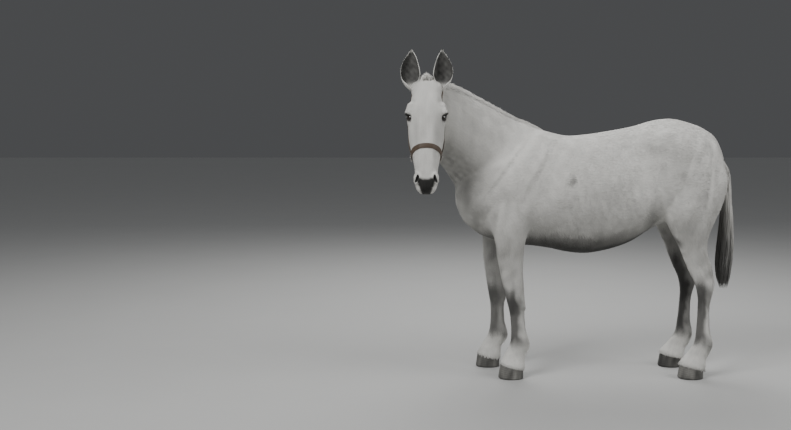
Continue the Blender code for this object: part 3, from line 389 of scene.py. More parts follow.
head = {
    "poll": (-0.196, -0.430, 1.848), "tilt": 15, "turn": 88,
    # down the face: face line, jaw line, half width, widest
    "rows": [
        (-0.022, -0.070, -0.150, 0.040, -0.110), (0.000, -0.040, -0.185, 0.066, -0.110),
        (0.040, -0.014, -0.220, 0.080, -0.100), (0.095, 0.005, -0.244, 0.087, -0.085),
        (0.135, 0.013, -0.260, 0.096, -0.072), (0.170, 0.018, -0.272, 0.107, -0.064),
        (0.205, 0.019, -0.283, 0.115, -0.064), (0.245, 0.018, -0.287, 0.108, -0.082),
        (0.300, 0.013, -0.278, 0.104, -0.100), (0.375, 0.006, -0.240, 0.096, -0.090),
        (0.450, 0.003, -0.198, 0.083, -0.080), (0.520, 0.001, -0.165, 0.070, -0.075),
        (0.575, -0.003, -0.148, 0.064, -0.075), (0.618, -0.010, -0.142, 0.063, -0.072),
        (0.647, -0.026, -0.134, 0.053, -0.078), (0.667, -0.055, -0.115, 0.034, -0.085),
    ],
    # brow, lower rim of the socket, cheek bone, jaw muscle, ear root, nostril, lips, chin
    "masses": [
        (0.184, 0.089, -0.055, 0.058, 0.036, 0.040, 10), (0.246, 0.084, -0.072, 0.046, 0.030, 0.042, 0),
        (0.340, 0.078, -0.084, 0.110, 0.018, 0.018, 0), (0.255, 0.062, -0.200, 0.100, 0.034, 0.078, 20),
        (0.045, 0.066, -0.090, 0.045, 0.030, 0.042, 0), (0.584, 0.044, -0.042, 0.045, 0.030, 0.036, 0),
        (0.632, 0.018, -0.062, 0.034, 0.040, 0.036, 0), (0.624, 0.016, -0.118, 0.034, 0.032, 0.026, 0),
        (0.582, 0.008, -0.138, 0.032, 0.028, 0.022, 0),
    ],
    "eyePlace": (0.228, 0.089, -0.058), "eyeRadius": 0.0235, "eyeOutward": 58,
    "slit": (0.0215, 0.0140),
    # place down the face and aside, slant, radii, and how much it bends
    "nostril": (0.592, 0.050, -22, 0.023, 0.0098, 9.0),
    "earRoot": (0.040, 0.073, -0.074), "earLength": 0.248, "earWidth": 0.104, "earWall": 0.006,
}

hoofLow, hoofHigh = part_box("hoof_fore_left")
toFrame = np.array((hoofLow.x - 0.266, (hoofLow.y + hoofHigh.y) / 2 + 0.148, 0.0))


def headAxes():
    # down the face, to the mule's left, and out of the face
    turn, tilt = math.radians(head["turn"]), math.radians(head["tilt"])
    ahead = np.array((-math.cos(turn), -math.sin(turn), 0.0))
    left = np.cross(up, ahead)
    down = ahead * math.sin(tilt) - up * math.cos(tilt)
    out = np.cross(left, down)
    return down, left, out if dot(out, ahead) > 0 else -out


downFace, leftward, outOfFace = headAxes()
headFrame = np.stack([downFace, leftward, outOfFace])
poll = np.array(head["poll"])


def onHead(down, aside, out):
    # a place from three measures: down the face from the poll, to the left, out of the face
    down, aside, out = (np.asarray(v, float)[..., None] for v in (down, aside, out))
    return poll + down * downFace + aside * leftward + out * outOfFace


def headPlaces(points):
    # the same three measures of any points
    return ((points - poll) @ headFrame.T).T


def ballShape(centre, radii, frameRows, columns=24, rows=14):
    # an ellipsoid on a grid of height and angle; frameRows turns its axes
    polar = np.linspace(0.06, math.pi - 0.06, rows)[:, None]
    angle = np.linspace(0, 2 * math.pi, columns, endpoint=False)[None]
    x = np.sin(polar) * np.cos(angle)
    y = np.sin(polar) * np.sin(angle)
    z = np.cos(polar) * np.ones_like(angle)
    local = np.stack([x, y, z], axis=-1) * np.array(radii)
    return gridShape(local @ np.array(frameRows) + np.array(centre))


def eggRings(centre, side, rise, drop, half, way, around, fullness):
    # rings whose height follows the cosine and whose width follows the sine, to a power
    angle = np.linspace(0, 2 * math.pi, around, endpoint=False)[None]
    across = np.sign(np.sin(angle)) * np.abs(np.sin(angle)) ** fullness[:, None]
    height = np.where(np.cos(angle) > 0, rise[:, None], drop[:, None]) * np.cos(angle)
    wide = (across * half[:, None])[..., None] * side[:, None]
    return centre[:, None] + wide + height[..., None] * way[:, None]


def torsoShape():
    # egg-shaped upright rings across the body, at even steps from breast to buttocks
    rings, around = fineness["torso"]
    x, top, widest, floor, half, fullness = smoothRows(body["torso"], rings).T
    centre = np.stack([x, 0 * x, widest], axis=1)
    side, way = np.tile(rightward, (rings, 1)), np.tile(up, (rings, 1))
    return gridShape(eggRings(centre, side, top - widest, widest - floor, half, way, around, fullness))


def neckStations(count):
    # the crest, the under line, the way across and the half thickness, in even steps of the rows
    rows = smoothRows([(i, *row) for i, row in enumerate(body["neck"])], count)
    crest, under, half = rows[:, 1:4], rows[:, 4:7], rows[:, 7]
    along = np.gradient((crest + under) / 2, axis=0)
    side = unit(np.cross(crest - under, along))
    return crest, under, side, half


def nearestNeck(points, count):
    # the neck's stations with their middles, and the one nearest each point seen from the side
    crest, under, way, _ = neckStations(count)
    middle = crest * 0.5 + under * 0.5
    apart = points[:, None, [0, 2]] - middle[None, :, [0, 2]]
    return crest, under, way, middle, np.argmin((apart**2).sum(axis=2), axis=1)


def neckShape():
    # rings from the under line to the crest, widest 0.44 of the way up
    rings, around = fineness["neck"]
    crest, under, side, half = neckStations(rings)
    depth = np.linalg.norm(crest - under, axis=1)
    way = unit(crest - under)
    centre = under + (crest - under) * 0.44
    fullness = np.full(rings, 1.15)
    return gridShape(eggRings(centre, side, depth * 0.56, depth * 0.44, half, way, around, fullness))


def leanAt(z, stagger, pivot):
    # how far ahead a leg stands at a height: nothing at its pivot, all of it at the floor
    return stagger * np.maximum(0.0, 1 - z / pivot) ** 0.6


def legShape(name):
    # level rings from the front line to the back line, moved ahead by the leg's lean
    rings, around = fineness["legs"]
    rows, side, stagger, pivot = legs["each"][name]
    z, front, back, aside, half = smoothRows(legs[rows], rings).T
    centre = np.stack([(front + back) / 2 - leanAt(z, stagger, pivot), side * aside, z], axis=1)
    reach = (back - front) / 2
    across, along = np.tile(rightward, (rings, 1)), np.tile(aft, (rings, 1))
    return gridShape(eggRings(centre, across, reach, reach, half, along, around, np.full(rings, 0.92)))


def bodyMassShapes():
    # an ellipsoid for each muscle, on both sides
    made = []
    for x, y, z, rx, ry, rz, pitch in body["masses"]:
        for side in (-1, 1):
            made.append(ballShape((x, side * y, z), (rx, ry, rz), turnY(pitch).T))
    return made


def headShapes():
    # rings from the jaw line to the face line, with an ellipsoid for each mass
    rings, around = fineness["head"]
    down, front, back, half, widest = smoothRows(head["rows"], rings).T
    centre = onHead(down, 0 * down, widest)
    side, way = np.tile(leftward, (rings, 1)), np.tile(outOfFace, (rings, 1))
    fullness = np.full(rings, 0.86)
    made = [gridShape(eggRings(centre, side, front - widest, widest - back, half, way, around, fullness))]
    for d, a, o, rd, ra, ro, pitch in head["masses"]:
        frameRows = turnY(-pitch).T @ headFrame
        for s in (-1, 1):
            made.append(ballShape(onHead(d, s * a, o), (rd, ra, ro), frameRows))
    return made


# Where a point lies on the body

headTop, headLow = onHead(-0.02, 0, -0.130), onHead(0.22, 0, -0.296)
jawLine = unit(headLow - headTop)
turnZ = math.radians(-25)
jawOut = np.array((
    outOfFace[0] * math.cos(turnZ) - outOfFace[1] * math.sin(turnZ),
    outOfFace[0] * math.sin(turnZ) + outOfFace[1] * math.cos(turnZ),
    outOfFace[2],
))
jawOut = unit(jawOut - jawLine * dot(jawOut, jawLine))
jawMiddle = (headTop + headLow) / 2
shoulderNormal = unit(np.array((-0.365, 0.0, 0.495)))
shoulderPoint = np.array((0.005, 0.0, 1.175))


def skullDistance(points):
    # distance ahead of the plane from behind the ears to behind the jaw
    return (points - jawMiddle) @ jawOut


def earDistance(points):
    # metres inside the edge of a rod round each ear, which is in front of the neck or beside it
    depth = np.full(len(points), -1.0)
    for side in (-1, 1):
        root, axis, _, _ = earFrame(side)
        local = points - root
        rise = dot(local, axis)
        aside = np.linalg.norm(local - rise[:, None] * axis, axis=1)
        depth = np.maximum(depth, np.minimum(0.080 - aside, rise + 0.005))
    return depth


def headDistance(points):
    # distance ahead of the end of the neck, where the ears count as head
    return np.maximum(skullDistance(points), earDistance(points))


def neckDistance(points):
    # distance ahead of the plane from the withers to the base of the throat
    return (points - shoulderPoint) @ shoulderNormal


def legPlaces(points):
    # for each point: is it a fore leg, its side, its share from front (0) to back (1) of the
    # leg at its height, its share from inner (-1) to outer (1), and the leg's half width
    fore = points[:, 0] < 0.85
    side = np.where(points[:, 1] < 0, -1.0, 1.0)
    columns = []
    for key in ("fore", "hind"):
        _, _, stagger, pivot = legs["each"][key + "_right"]
        rows = np.array(legs[key])[::-1]
        z = points[:, 2]
        lean = np.where(side > 0, leanAt(z, stagger, pivot), 0.0)
        front, back, aside, half = (np.interp(z, rows[:, 0], rows[:, k]) for k in (1, 2, 3, 4))
        share = (points[:, 0] + lean - front) / (back - front)
        columns.append(np.stack([share, (side * points[:, 1] - aside) / half, half]))
    share, across, half = np.where(fore, columns[0], columns[1])
    return fore, side, share, across, half


def cloud(points, size, seed, waves=14):
    # soft blotches about size across: a sum of sines along random ways, about -1 to 1
    rng = np.random.default_rng(seed)
    ways = unit(rng.normal(size=(waves, 3))) * (2 * math.pi / size) * rng.uniform(0.6, 1.5, (waves, 1))
    phase = rng.uniform(0, 2 * math.pi, waves)
    return np.sin(points @ ways.T + phase).sum(axis=1) / math.sqrt(waves)


# Skin

skin = {
    "voxel": 0.005,
    "bodyRounds": 72, "allRounds": 8, "throatRounds": 30,
    "triangles": 122000,
    "insetBody": 0.0032, "insetHead": 0.0016, "insetLegs": 0.0022, "insetEars": 0.0008,
    # finer forms of the flank: place, reach, pitch and height
    "finer": [
        (0.300, 1.330, 0.016, 0.200, 38, 0.006), (0.470, 1.290, 0.022, 0.170, 30, 0.005),
        (0.335, 1.060, 0.018, 0.090, -30, -0.006), (0.455, 0.965, 0.030, 0.040, 0, 0.005),
        (0.240, 1.010, 0.022, 0.080, 10, -0.006), (0.215, 0.940, 0.020, 0.050, 0, 0.004),
        (1.030, 1.120, 0.030, 0.160, -28, 0.004), (1.235, 1.130, 0.026, 0.090, -12, -0.009),
        (1.400, 1.350, 0.020, 0.130, 18, -0.004), (1.520, 1.210, 0.016, 0.170, 8, -0.005),
        (1.420, 1.080, 0.040, 0.090, 20, 0.005), (1.560, 1.020, 0.016, 0.080, 14, -0.004),
        (1.190, 1.520, 0.070, 0.020, 12, 0.004), (0.620, 1.440, 0.090, 0.050, 0, -0.004),
    ],
    "ribs": (0.62, 1.10, 0.058, 0.0011),
}


def reliefHeight(rows, x, z):
    # the sum of slanting bell-shaped swells
    total = np.zeros_like(x)
    for rowX, rowZ, reachX, reachZ, pitch, height in rows:
        turn = math.radians(pitch)
        dx, dz = x - rowX, z - rowZ
        u = (dx * math.cos(turn) - dz * math.sin(turn)) / reachX
        v = (dx * math.sin(turn) + dz * math.cos(turn)) / reachZ
        total += height * np.exp(-(u * u) - v * v)
    return total


def flankRelief(points, normals):
    # the flank's swells and hollows, fading toward the middle plane and the breast
    x, y, z = points.T
    facing = np.abs(normals[:, 1]) * eased(0.03, 0.12, np.abs(y)) * eased(0.0, 0.12, x)
    return points + normals * (reliefHeight(body["reliefs"], x, z) * facing)[:, None]


def finerRelief(points, normals):
    # fine forms, each a height times bell curves round its place:
    # muscle edges, faint ribs, the groove of the neck, tendons, knees and hocks
    x, y, z = points.T
    facing = np.abs(normals[:, 1]) * eased(0.03, 0.12, np.abs(y)) * eased(0.0, 0.12, x)
    onTorso = 1 - eased(-0.03, 0.03, neckDistance(points))
    height = reliefHeight(skin["finer"], x, z) * facing * onTorso
    first, last, step, rib = skin["ribs"]
    onRibs = eased(first, first + 0.1, x) * (1 - eased(last - 0.1, last, x)) * bell(z - 1.10, 0.17)
    height += rib * np.sin((x + 0.32 * (z - 1.1)) * 2 * math.pi / step) * onRibs * facing

    fore, _, share, across, _ = legPlaces(points)
    low = 1 - eased(0.60, 0.66, z)
    flat = np.abs(across) > 0.35
    cannon = np.where(fore, bell(z - 0.345, 0.065), bell(z - 0.385, 0.085))
    height -= 0.0048 * bell(share - 0.52, 0.12) * cannon * flat * low
    height += 0.0024 * bell(share - 0.80, 0.12) * cannon * flat * low
    knee = bell(z - np.where(fore, 0.500, 0.545), 0.022) * low
    height += 0.0030 * knee * bell(np.abs(across) - 0.7, 0.4) * bell(share - 0.4, 0.3)
    height += 0.0040 * bell(z - 0.455, 0.016) * fore * bell(share - 1.0, 0.25) * low
    hollow = bell(z - 0.640, 0.060) * ~fore * bell(share - 0.60, 0.14)
    height -= 0.0085 * hollow * (np.abs(across) > 0.3)
    fetlock = bell(z - 0.235, 0.022)
    height += 0.0035 * fetlock * bell(np.abs(across) - 0.8, 0.3) * bell(share - 0.45, 0.3)
    height -= 0.0030 * bell(z - 0.185, 0.020) * bell(share - 0.5, 0.25) * flat
    forearm = bell(z - 0.80, 0.10) * fore * (np.abs(across) > 0.3)
    height -= 0.0045 * bell(share - 0.46, 0.07) * forearm * (1 - eased(0.9, 1.0, z))

    crest, under, _, _, nearest = nearestNeck(points, 80)
    depth = crest - under
    rise = dot(points - under[nearest], depth[nearest]) / dot(depth, depth)[nearest]
    onNeck = eased(0.0, 0.06, neckDistance(points)) * (1 - eased(-0.05, 0.0, headDistance(points)))
    height -= 0.0070 * bell(rise - 0.16, 0.055) * onNeck
    height += 0.0050 * bell(rise - 0.29, 0.09) * onNeck
    height -= 0.0040 * bell(rise - 0.84, 0.06) * onNeck
    return points + normals * height[:, None]


def coronetPlanes(points):
    # height of the plane on top of the nearest hoof
    fore, side, _, _, _ = legPlaces(points)
    made = []
    for key in ("fore", "hind"):
        _, _, stagger, pivot = legs["each"][key + "_right"]
        z, front, back, _, _ = legs[key][-2]
        lean = np.where(side > 0, leanAt(z, stagger, pivot), 0.0)
        slope = (legs["toeHeight"] - legs["heelHeight"]) / (back - front)
        middle = (front + back) / 2 - lean
        made.append((legs["toeHeight"] + legs["heelHeight"]) / 2 - slope * (points[:, 0] - middle))
    return np.where(fore, made[0], made[1])


def rawSkin():
    # torso, neck, legs, head and muscles melted into one surface and eased
    shapes = [torsoShape(), neckShape()] + [legShape(name) for name in legs["each"]]
    shapes += bodyMassShapes() + headShapes()
    made = makeObject("skin", merged([outward(shape) for shape in shapes]))
    melt = made.modifiers.new("melt", "REMESH")
    melt.mode = "VOXEL"
    melt.voxel_size = skin["voxel"]
    applied(made)
    mesh = made.data
    points, edges = pointsOf(mesh), edgesOf(mesh)
    onBody = 1 - eased(-0.02, 0.02, headDistance(points))
    points = relaxed(points, edges, skin["bodyRounds"], eased(0.72, 0.92, points[:, 2]) * onBody)
    movePoints(mesh, points)
    points = flankRelief(points, normalsOf(mesh))
    points = relaxed(points, edges, skin["allRounds"], np.ones(len(points)))
    throat = bell(headDistance(points), 0.030)
    points = relaxed(points, edges, skin["throatRounds"], throat)
    movePoints(mesh, points)
    points = finerRelief(points, normalsOf(mesh))
    points = relaxed(points, edges, 3, np.ones(len(points)))
    floor = coronetPlanes(points) - 0.004
    points[:, 2] = np.maximum(points[:, 2], np.where(points[:, 2] < 0.2, floor, -1.0))
    movePoints(mesh, points)
    return made


def thinned(made, triangles):
    # fewer triangles on the body than on the head
    mesh = made.data
    group = made.vertex_groups.new(name="body")
    headward = eased(-0.06, 0.0, headDistance(pointsOf(mesh)))
    for level in (0.12, 1.0):
        chosen = np.flatnonzero((headward > 0.5) == (level < 1))
        group.add(chosen.tolist(), level, "REPLACE")
    less = made.modifiers.new("less", "DECIMATE")
    less.ratio = triangles / len(trianglesOf(mesh))
    less.vertex_group = group.name
    less.vertex_group_factor = 1.0
    applied(made)
    made.vertex_groups.clear()
    return made


def earFrame(side):
    # the root of an ear, the way up it, the way its cup faces and the way across
    axis = unit(-downFace + leftward * side * 0.09 + outOfFace * 0.02)
    front = outOfFace + leftward * side * 0.18
    front = unit(front - axis * dot(front, axis))
    across = leftward * side
    across = unit(across - axis * dot(across, axis) - front * dot(across, front))
    down, aside, out = head["earRoot"]
    return onHead(down, side * aside, out), axis, front, across


def earCurve(v):
    # how far an ear bows outward, and half the angle that its wall covers, at a share of its height
    bow = 0.015 * np.sin(math.pi * np.clip(v, 0, 1)) - 0.004 * v**3
    return bow, np.radians(158 - 58 * eased(0.0, 0.4, v) - 30 * eased(0.6, 1.0, v))


def earGrid(side, rows=44, shares=19):
    # a long leaf rolled into a cup: at each height an arc of the cup's width, outer wall there
    # and inner wall back, with the two rims rounded between them
    root, axis, front, across = earFrame(side)
    v = np.linspace(0, 1, rows)
    bow, spread = earCurve(v)
    leaf = np.sin(math.pi * np.minimum(v / 0.96, 1.0) ** 0.9) ** 0.8
    width = head["earWidth"] / 2 * (0.30 * np.sqrt(1 - v) + 0.80 * leaf) + 0.006
    middle = root + axis * (head["earLength"] * (v - 0.08))[:, None] + across * bow[:, None]
    wall = head["earWall"] * (1 - 0.5 * v)
    share = np.linspace(-1, 1, shares)
    shareRing = np.concatenate([share, (1.03,), share[::-1], (-1.03,)])
    inward = np.concatenate([np.zeros(shares), (0.5,), np.ones(shares), (0.5,)])
    angle = spread[:, None] * shareRing[None]
    reach = width[:, None] - wall[:, None] * inward[None]
    deep = width[:, None] * 0.74 - wall[:, None] * inward[None]
    wide = (reach * np.sin(angle))[..., None] * across
    depth = (-np.cos(angle) * deep)[..., None] * front
    return middle[:, None] + wide + depth


def withEars(made):
    # the ears are united with the skin
    ears = makeObject("ears", merged([outward(gridShape(earGrid(side))) for side in (1, -1)]))
    group = bpy.data.collections.new("earPair")
    group.objects.link(ears)
    join = made.modifiers.new("join", "BOOLEAN")
    join.operand_type = "COLLECTION"
    join.collection = group
    join.operation = "UNION"
    join.solver = "MANIFOLD"
    applied(made)
    bpy.data.collections.remove(group)
    bpy.data.objects.remove(ears)
    bm = bmesh.new()
    bm.from_mesh(made.data)
    bmesh.ops.recalc_face_normals(bm, faces=bm.faces)
    bm.to_mesh(made.data)
    bm.free()
    return made


def refined(made, spheres):
    # every edge within a sphere is halved
    bm = bmesh.new()
    bm.from_mesh(made.data)
    bm.edges.ensure_lookup_table()
    points, edges = pointsOf(made.data), edgesOf(made.data)
    middle = points[edges].mean(axis=1)
    inside = np.zeros(len(edges), bool)
    for centre, radius in spheres:
        inside |= np.linalg.norm(middle - centre, axis=1) < radius
    chosen = [bm.edges[i] for i in np.flatnonzero(inside)]
    bmesh.ops.subdivide_edges(bm, edges=chosen, cuts=1, use_grid_fill=True)
    bmesh.ops.triangulate(bm, faces=bm.faces)
    bm.to_mesh(made.data)
    bm.free()
    return made


def eyeAxes(side):
    # along the slit (up and back), up across it, and out of the eye
    turn = math.radians(head["eyeOutward"])
    out = outOfFace * math.cos(turn) + leftward * side * math.sin(turn)
    back = unit(leftward * side - out * dot(leftward * side, out))
    along = unit(back * 0.9 - downFace * 0.45)
    rise = unit(np.cross(out, along))
    return along, rise if dot(rise, -downFace) > 0 else -rise, out


def eyeCentre(side):
    down, aside, out = head["eyePlace"]
    return onHead(down, side * aside, out)


def lidded(points):
    # round each eye the skin moves along the eye's axis: back behind the ball inside the slit,
    # out over the ball on the lids, with a rounded edge and a fold beyond it
    radius = head["eyeRadius"]
    long, high = head["slit"]
    for side in (-1, 1):
        along, rise, out = eyeAxes(side)
        local = points - eyeCentre(side)
        a, u, o = dot(local, along), dot(local, rise), dot(local, out)
        tall = np.where(u > 0, high * 0.74, high * 0.55) * (1 - 0.25 * a / long)
        slit = np.sqrt((a / long) ** 2 + (u / tall) ** 2)
        ball = np.sqrt(np.maximum(radius**2 - a**2 - u**2, 0.0))
        reach = np.hypot(a, u)
        lid = np.sqrt(np.maximum((radius + 0.0034) ** 2 - np.minimum(reach, radius * 0.93) ** 2, 0.0))
        edge = eased(0.93, 1.16, slit)
        target = (ball - 0.0045) * (1 - edge) + lid * edge
        beyond = eased(1.35, 2.6, slit)
        near = eased(0.0, 0.012, o) * (1 - eased(0.034, 0.048, reach))
        fold = 0.0022 * bell(slit - 1.95, 0.16) * (u > -0.004) - 0.0010 * bell(slit - 1.75, 0.12) * (u <= 0)
        moved = target * (1 - beyond) + o * beyond - fold
        points = points + out * ((moved - o) * near)[:, None]
    return points


def nostrilPlaces(points, side):
    # distance from the middle of a slanting comma, 1 at its edge, and if a point is on its side
    down, aside, out = headPlaces(points)
    placeDown, placeAside, slant, long, high, bend = head["nostril"]
    turn = math.radians(slant)
    d, a = down - placeDown, side * aside - placeAside
    u = d * math.cos(turn) - a * math.sin(turn)
    v = d * math.sin(turn) + a * math.cos(turn) - bend * (u - 0.004) ** 2
    return np.sqrt((u / long) ** 2 + (v / high) ** 2), (side * aside > 0.012) * (out > -0.075)


def nosed(points, normals):
    # nostrils are slanting commas pressed in with a raised rim; the mouth is a groove
    down, aside, out = headPlaces(points)
    move = np.zeros(len(points))
    for side in (-1, 1):
        hole, facing = nostrilPlaces(points, side)
        move += facing * (-0.0120 * (1 - eased(0.35, 1.0, hole)) + 0.0030 * bell(hole - 1.35, 0.32))
    line = np.abs(out + 0.094 - 0.02 * (0.64 - down))
    back = eased(0.560, 0.580, down)
    move -= 0.0050 * bell(line, 0.0035) * back
    move += 0.0014 * bell(line - 0.011, 0.006) * back
    move -= 0.0020 * bell(down - 0.600, 0.012) * bell(out + 0.128, 0.010) * bell(aside, 0.03)
    return points + normals * move[:, None]


def skullRelief(points, normals):
    # forms of the skull, each a height times bell curves round its place:
    # cheek ridge, hollow over the eye, bridge of the nose, veins and the jaw's edge
    down, aside, out = headPlaces(points)
    onFace = eased(0.0, 0.04, headDistance(points)) * (down > -0.02) * (down < 0.70)
    side = np.abs(aside)
    ridge = out + 0.098 + 0.10 * (down - 0.33)
    height = 0.0045 * bell(ridge, 0.010) * bell(down - 0.345, 0.075) * (side > 0.04)
    height -= 0.0040 * bell(ridge + 0.028, 0.018) * bell(down - 0.36, 0.080) * (side > 0.04)
    height -= 0.0065 * bell(down - 0.140, 0.020) * bell(side - 0.085, 0.020) * (out > -0.10)
    height += 0.0022 * bell(side - 0.034, 0.010) * bell(down - 0.42, 0.12) * (out > -0.04)
    height -= 0.0035 * bell(side - 0.062, 0.014) * bell(down - 0.47, 0.06) * (out > -0.09)
    height -= 0.0022 * bell(aside, 0.012) * bell(down - 0.16, 0.08) * (out > -0.03)
    height += 0.0060 * bell(down - 0.205, 0.016) * eased(0.085, 0.11, side) * (out > -0.11)
    height -= 0.0050 * bell(down - 0.165, 0.020) * eased(0.080, 0.105, side) * (out > -0.11)
    vein = out + 0.075 + 0.35 * (down - 0.42) + 0.004 * np.sin(down * 70)
    height += 0.0014 * bell(vein, 0.0035) * bell(down - 0.43, 0.06) * (side > 0.03)
    height -= 0.0040 * bell(down - 0.30 - 0.25 * (out + 0.2), 0.018) * bell(out + 0.20, 0.05) * (side > 0.03)
    return points + normals * (height * onFace)[:, None]


def insetDepth(points):
    # the depth of the coat over the skin
    down = headPlaces(points)[0]
    onHeadShare = eased(-0.03, 0.03, headDistance(points))
    onLegs = 1 - eased(0.55, 0.85, points[:, 2])
    depth = skin["insetBody"] * (1 - onLegs) + skin["insetLegs"] * onLegs
    depth = depth * (1 - onHeadShare) + skin["insetHead"] * onHeadShare
    muzzle = onHeadShare * eased(0.50, 0.58, down)
    depth = depth * (1 - 0.7 * muzzle)
    onEars = eased(0.0, 0.02, earDistance(points))
    return depth * (1 - onEars) + skin["insetEars"] * onEars


def makeSkin():
    # the melted skin with its ears: edges are halved at the eyes, nostrils and mouth, the face's
    # forms are raised or pressed in along the normals, and all of it is inset by the coat's depth
    made = thinned(rawSkin(), skin["triangles"])
    print("skin melted and thinned", len(made.data.polygons))
    made = withEars(made)
    print("ears joined", len(made.data.polygons))
    spheres = []
    for side in (-1, 1):
        spheres += [(eyeCentre(side), 0.052), (onHead(0.592, side * 0.048, -0.03), 0.050)]
    refined(made, spheres + [(onHead(0.64, 0, -0.09), 0.085)])
    refined(made, [(centre, radius * 0.72) for centre, radius in spheres])
    mesh = made.data
    points, edges = pointsOf(mesh), edgesOf(mesh)
    rootWeight = np.zeros(len(points))
    for side in (-1, 1):
        ring = np.linalg.norm(points - onHead(0.030, side * 0.073, -0.078), axis=1)
        rootWeight = np.maximum(rootWeight, 1 - eased(0.022, 0.050, ring))
    points = relaxed(points, edges, 10, rootWeight)
    faceWeight = 0.5 * eased(0.0, 0.02, headDistance(points)) * (headPlaces(points)[0] > 0.08)
    points = relaxed(points, edges, 4, faceWeight)
    movePoints(mesh, points)
    points = skullRelief(points, normalsOf(mesh))
    movePoints(mesh, points)
    points = nosed(points, normalsOf(mesh))
    points = relaxed(points, edges, 2, faceWeight)
    points = lidded(points)
    movePoints(mesh, points)
    points = points - normalsOf(mesh) * insetDepth(points)[:, None]
    movePoints(mesh, points)
    return made


# Markings and painted shade: one tone for the skin and for every tuft that grows there

marksAndShade = {
    "coat": 0.66, "mottle": 0.055, "blotch": 0.05,
    # how much darker than the coat each marking or painted shade is: belly is a darker belly coat with
    # painted shade on the underside, fold is painted shade in the fold of the flank, and throat is darker
    # hair with painted shade under the neck
    "dapple": 0.10, "belly": 0.84, "fold": 0.45, "throat": 0.42,
    "shanks": 0.76, "rightForeShank": 0.52, "joints": 0.45, "fetlocks": 0.42, "upperLegs": 0.20,
    # the inner sides of the legs are painted shade
    "innerForeShade": 0.40, "innerHindShade": 0.62, "coronets": 0.25,
    # the darkening of the cheeks below the eyes is painted shade along the facial crest
    "muzzle": 0.955, "cheekShade": 0.26, "forehead": 0.12,
    # how dark the chin and the lids are beside the muzzle; the lids' dark skin carries painted shade round
    # the eye too
    "chin": 0.6, "lids": 0.97,
    # the tones of the pasterns and of the ears' cups themselves
    "pasterns": 0.72, "earCups": 0.075,
    # darker patches, among them two scars on the left flank and painted shade behind the jaw, in front of the
    # gaskin and in the groove at the breast: middle, radii, how much darker, and side (0 is both)
    "patchesAndShade": [
        # painted shade on the neck behind the jaw
        (0.095, -0.20, 1.600, 0.045, 0.20, 0.070, 0.16, 0),
        (0.690, -0.28, 1.240, 0.016, 0.10, 0.028, 0.62, -1),
        (0.672, -0.28, 1.222, 0.013, 0.10, 0.018, 0.52, -1),
        (0.650, -0.28, 1.090, 0.070, 0.20, 0.050, 0.14, 0),
        (0.910, -0.28, 1.140, 0.080, 0.20, 0.050, 0.16, 0),
        (0.960, -0.28, 1.208, 0.050, 0.20, 0.030, 0.12, 0),
        (1.188, -0.26, 1.443, 0.070, 0.20, 0.040, 0.12, 0),
        (1.350, -0.25, 1.276, 0.040, 0.20, 0.030, 0.20, 0),
        (1.450, -0.24, 1.190, 0.090, 0.20, 0.110, 0.12, 0),
        (1.466, -0.24, 1.157, 0.035, 0.20, 0.030, 0.20, 0),
        # painted shade in front of the gaskin below the flank fold
        (1.400, -0.20, 0.945, 0.080, 0.20, 0.070, 0.30, 0),
        (0.290, -0.20, 0.790, 0.040, 0.12, 0.050, 0.22, 0),
        # painted shade in the groove between the breast and the point of the shoulder
        (0.100, -0.10, 1.050, 0.040, 0.20, 0.110, 0.22, 0),
        (0.400, -0.22, 0.980, 0.060, 0.12, 0.060, 0.12, 0),
        (0.560, -0.25, 1.000, 0.110, 0.20, 0.070, 0.16, 0),
        (0.800, -0.28, 1.000, 0.140, 0.20, 0.060, 0.12, 0),
    ],
}


def darker(tone, mark, cover):
    # the tone under a marking or a painted shade that covers this share of each point
    return tone * (1 - marksAndShade[mark] * cover)


def legTone(tone, points):
    # dark fronts of the shanks and the joints, painted shade on the inner sides and pale pasterns
    z = points[:, 2]
    fore, _, share, across, _ = legPlaces(points)
    streaks = cloud(points * (1, 1, 0.4), 0.045, 4)
    fronts = 1 - eased(0.30, 0.72, share + 0.10 * streaks)
    right = points[:, 1] > 0
    # on the right hind the dark front reaches higher: partly the leg's own colour, partly painted shade on
    # that leg
    top = np.where(fore, 0.55, np.where(right, 0.72, 0.60))
    shank = eased(0.19, 0.27, z + 0.012 * streaks) * (1 - eased(top - 0.06, top + 0.08, z + 0.02 * streaks))
    dark = np.where(fore & right, marksAndShade["rightForeShank"], marksAndShade["shanks"])
    tone = tone * (1 - dark * fronts * shank)
    kneeTop, kneeLow = np.where(fore, 0.51, 0.57), np.where(fore, 0.44, 0.47)
    joint = eased(kneeLow - 0.06, kneeLow + 0.01, z + 0.02 * streaks)
    joint = joint * (1 - eased(kneeTop - 0.02, kneeTop + 0.06, z))
    tone = darker(tone, "joints", joint * (1 - eased(0.70, 0.95, share)))
    tone = darker(tone, "fetlocks", bell(z - 0.240, 0.030) * (1 - eased(0.8, 1.0, share)) * (z < 0.4))
    upper = eased(0.56, 0.66, z) * (1 - eased(0.72, 0.95, z))
    tone = darker(tone, "upperLegs", upper * np.clip(cloud(points, 0.10, 5) + 0.35, 0, 1.5))
    # painted shade on the inner sides of the legs, heavier on the hind legs
    innerShade = (1 - eased(0.80, 1.02, z)) * eased(-0.2, 0.5, -across) * eased(0.20, 0.30, z)
    tone = tone * (1 - np.where(fore, marksAndShade["innerForeShade"], marksAndShade["innerHindShade"]) * innerShade)
    pastern = (1 - eased(0.180, 0.215, z + 0.008 * streaks)) * (z < 0.3)
    tone = tone * (1 - pastern) + (marksAndShade["pasterns"] + 0.03 * cloud(points, 0.04, 6)) * pastern
    return darker(tone, "coronets", (1 - eased(0.004, 0.016, z - coronetPlanes(points))) * (z < 0.2))


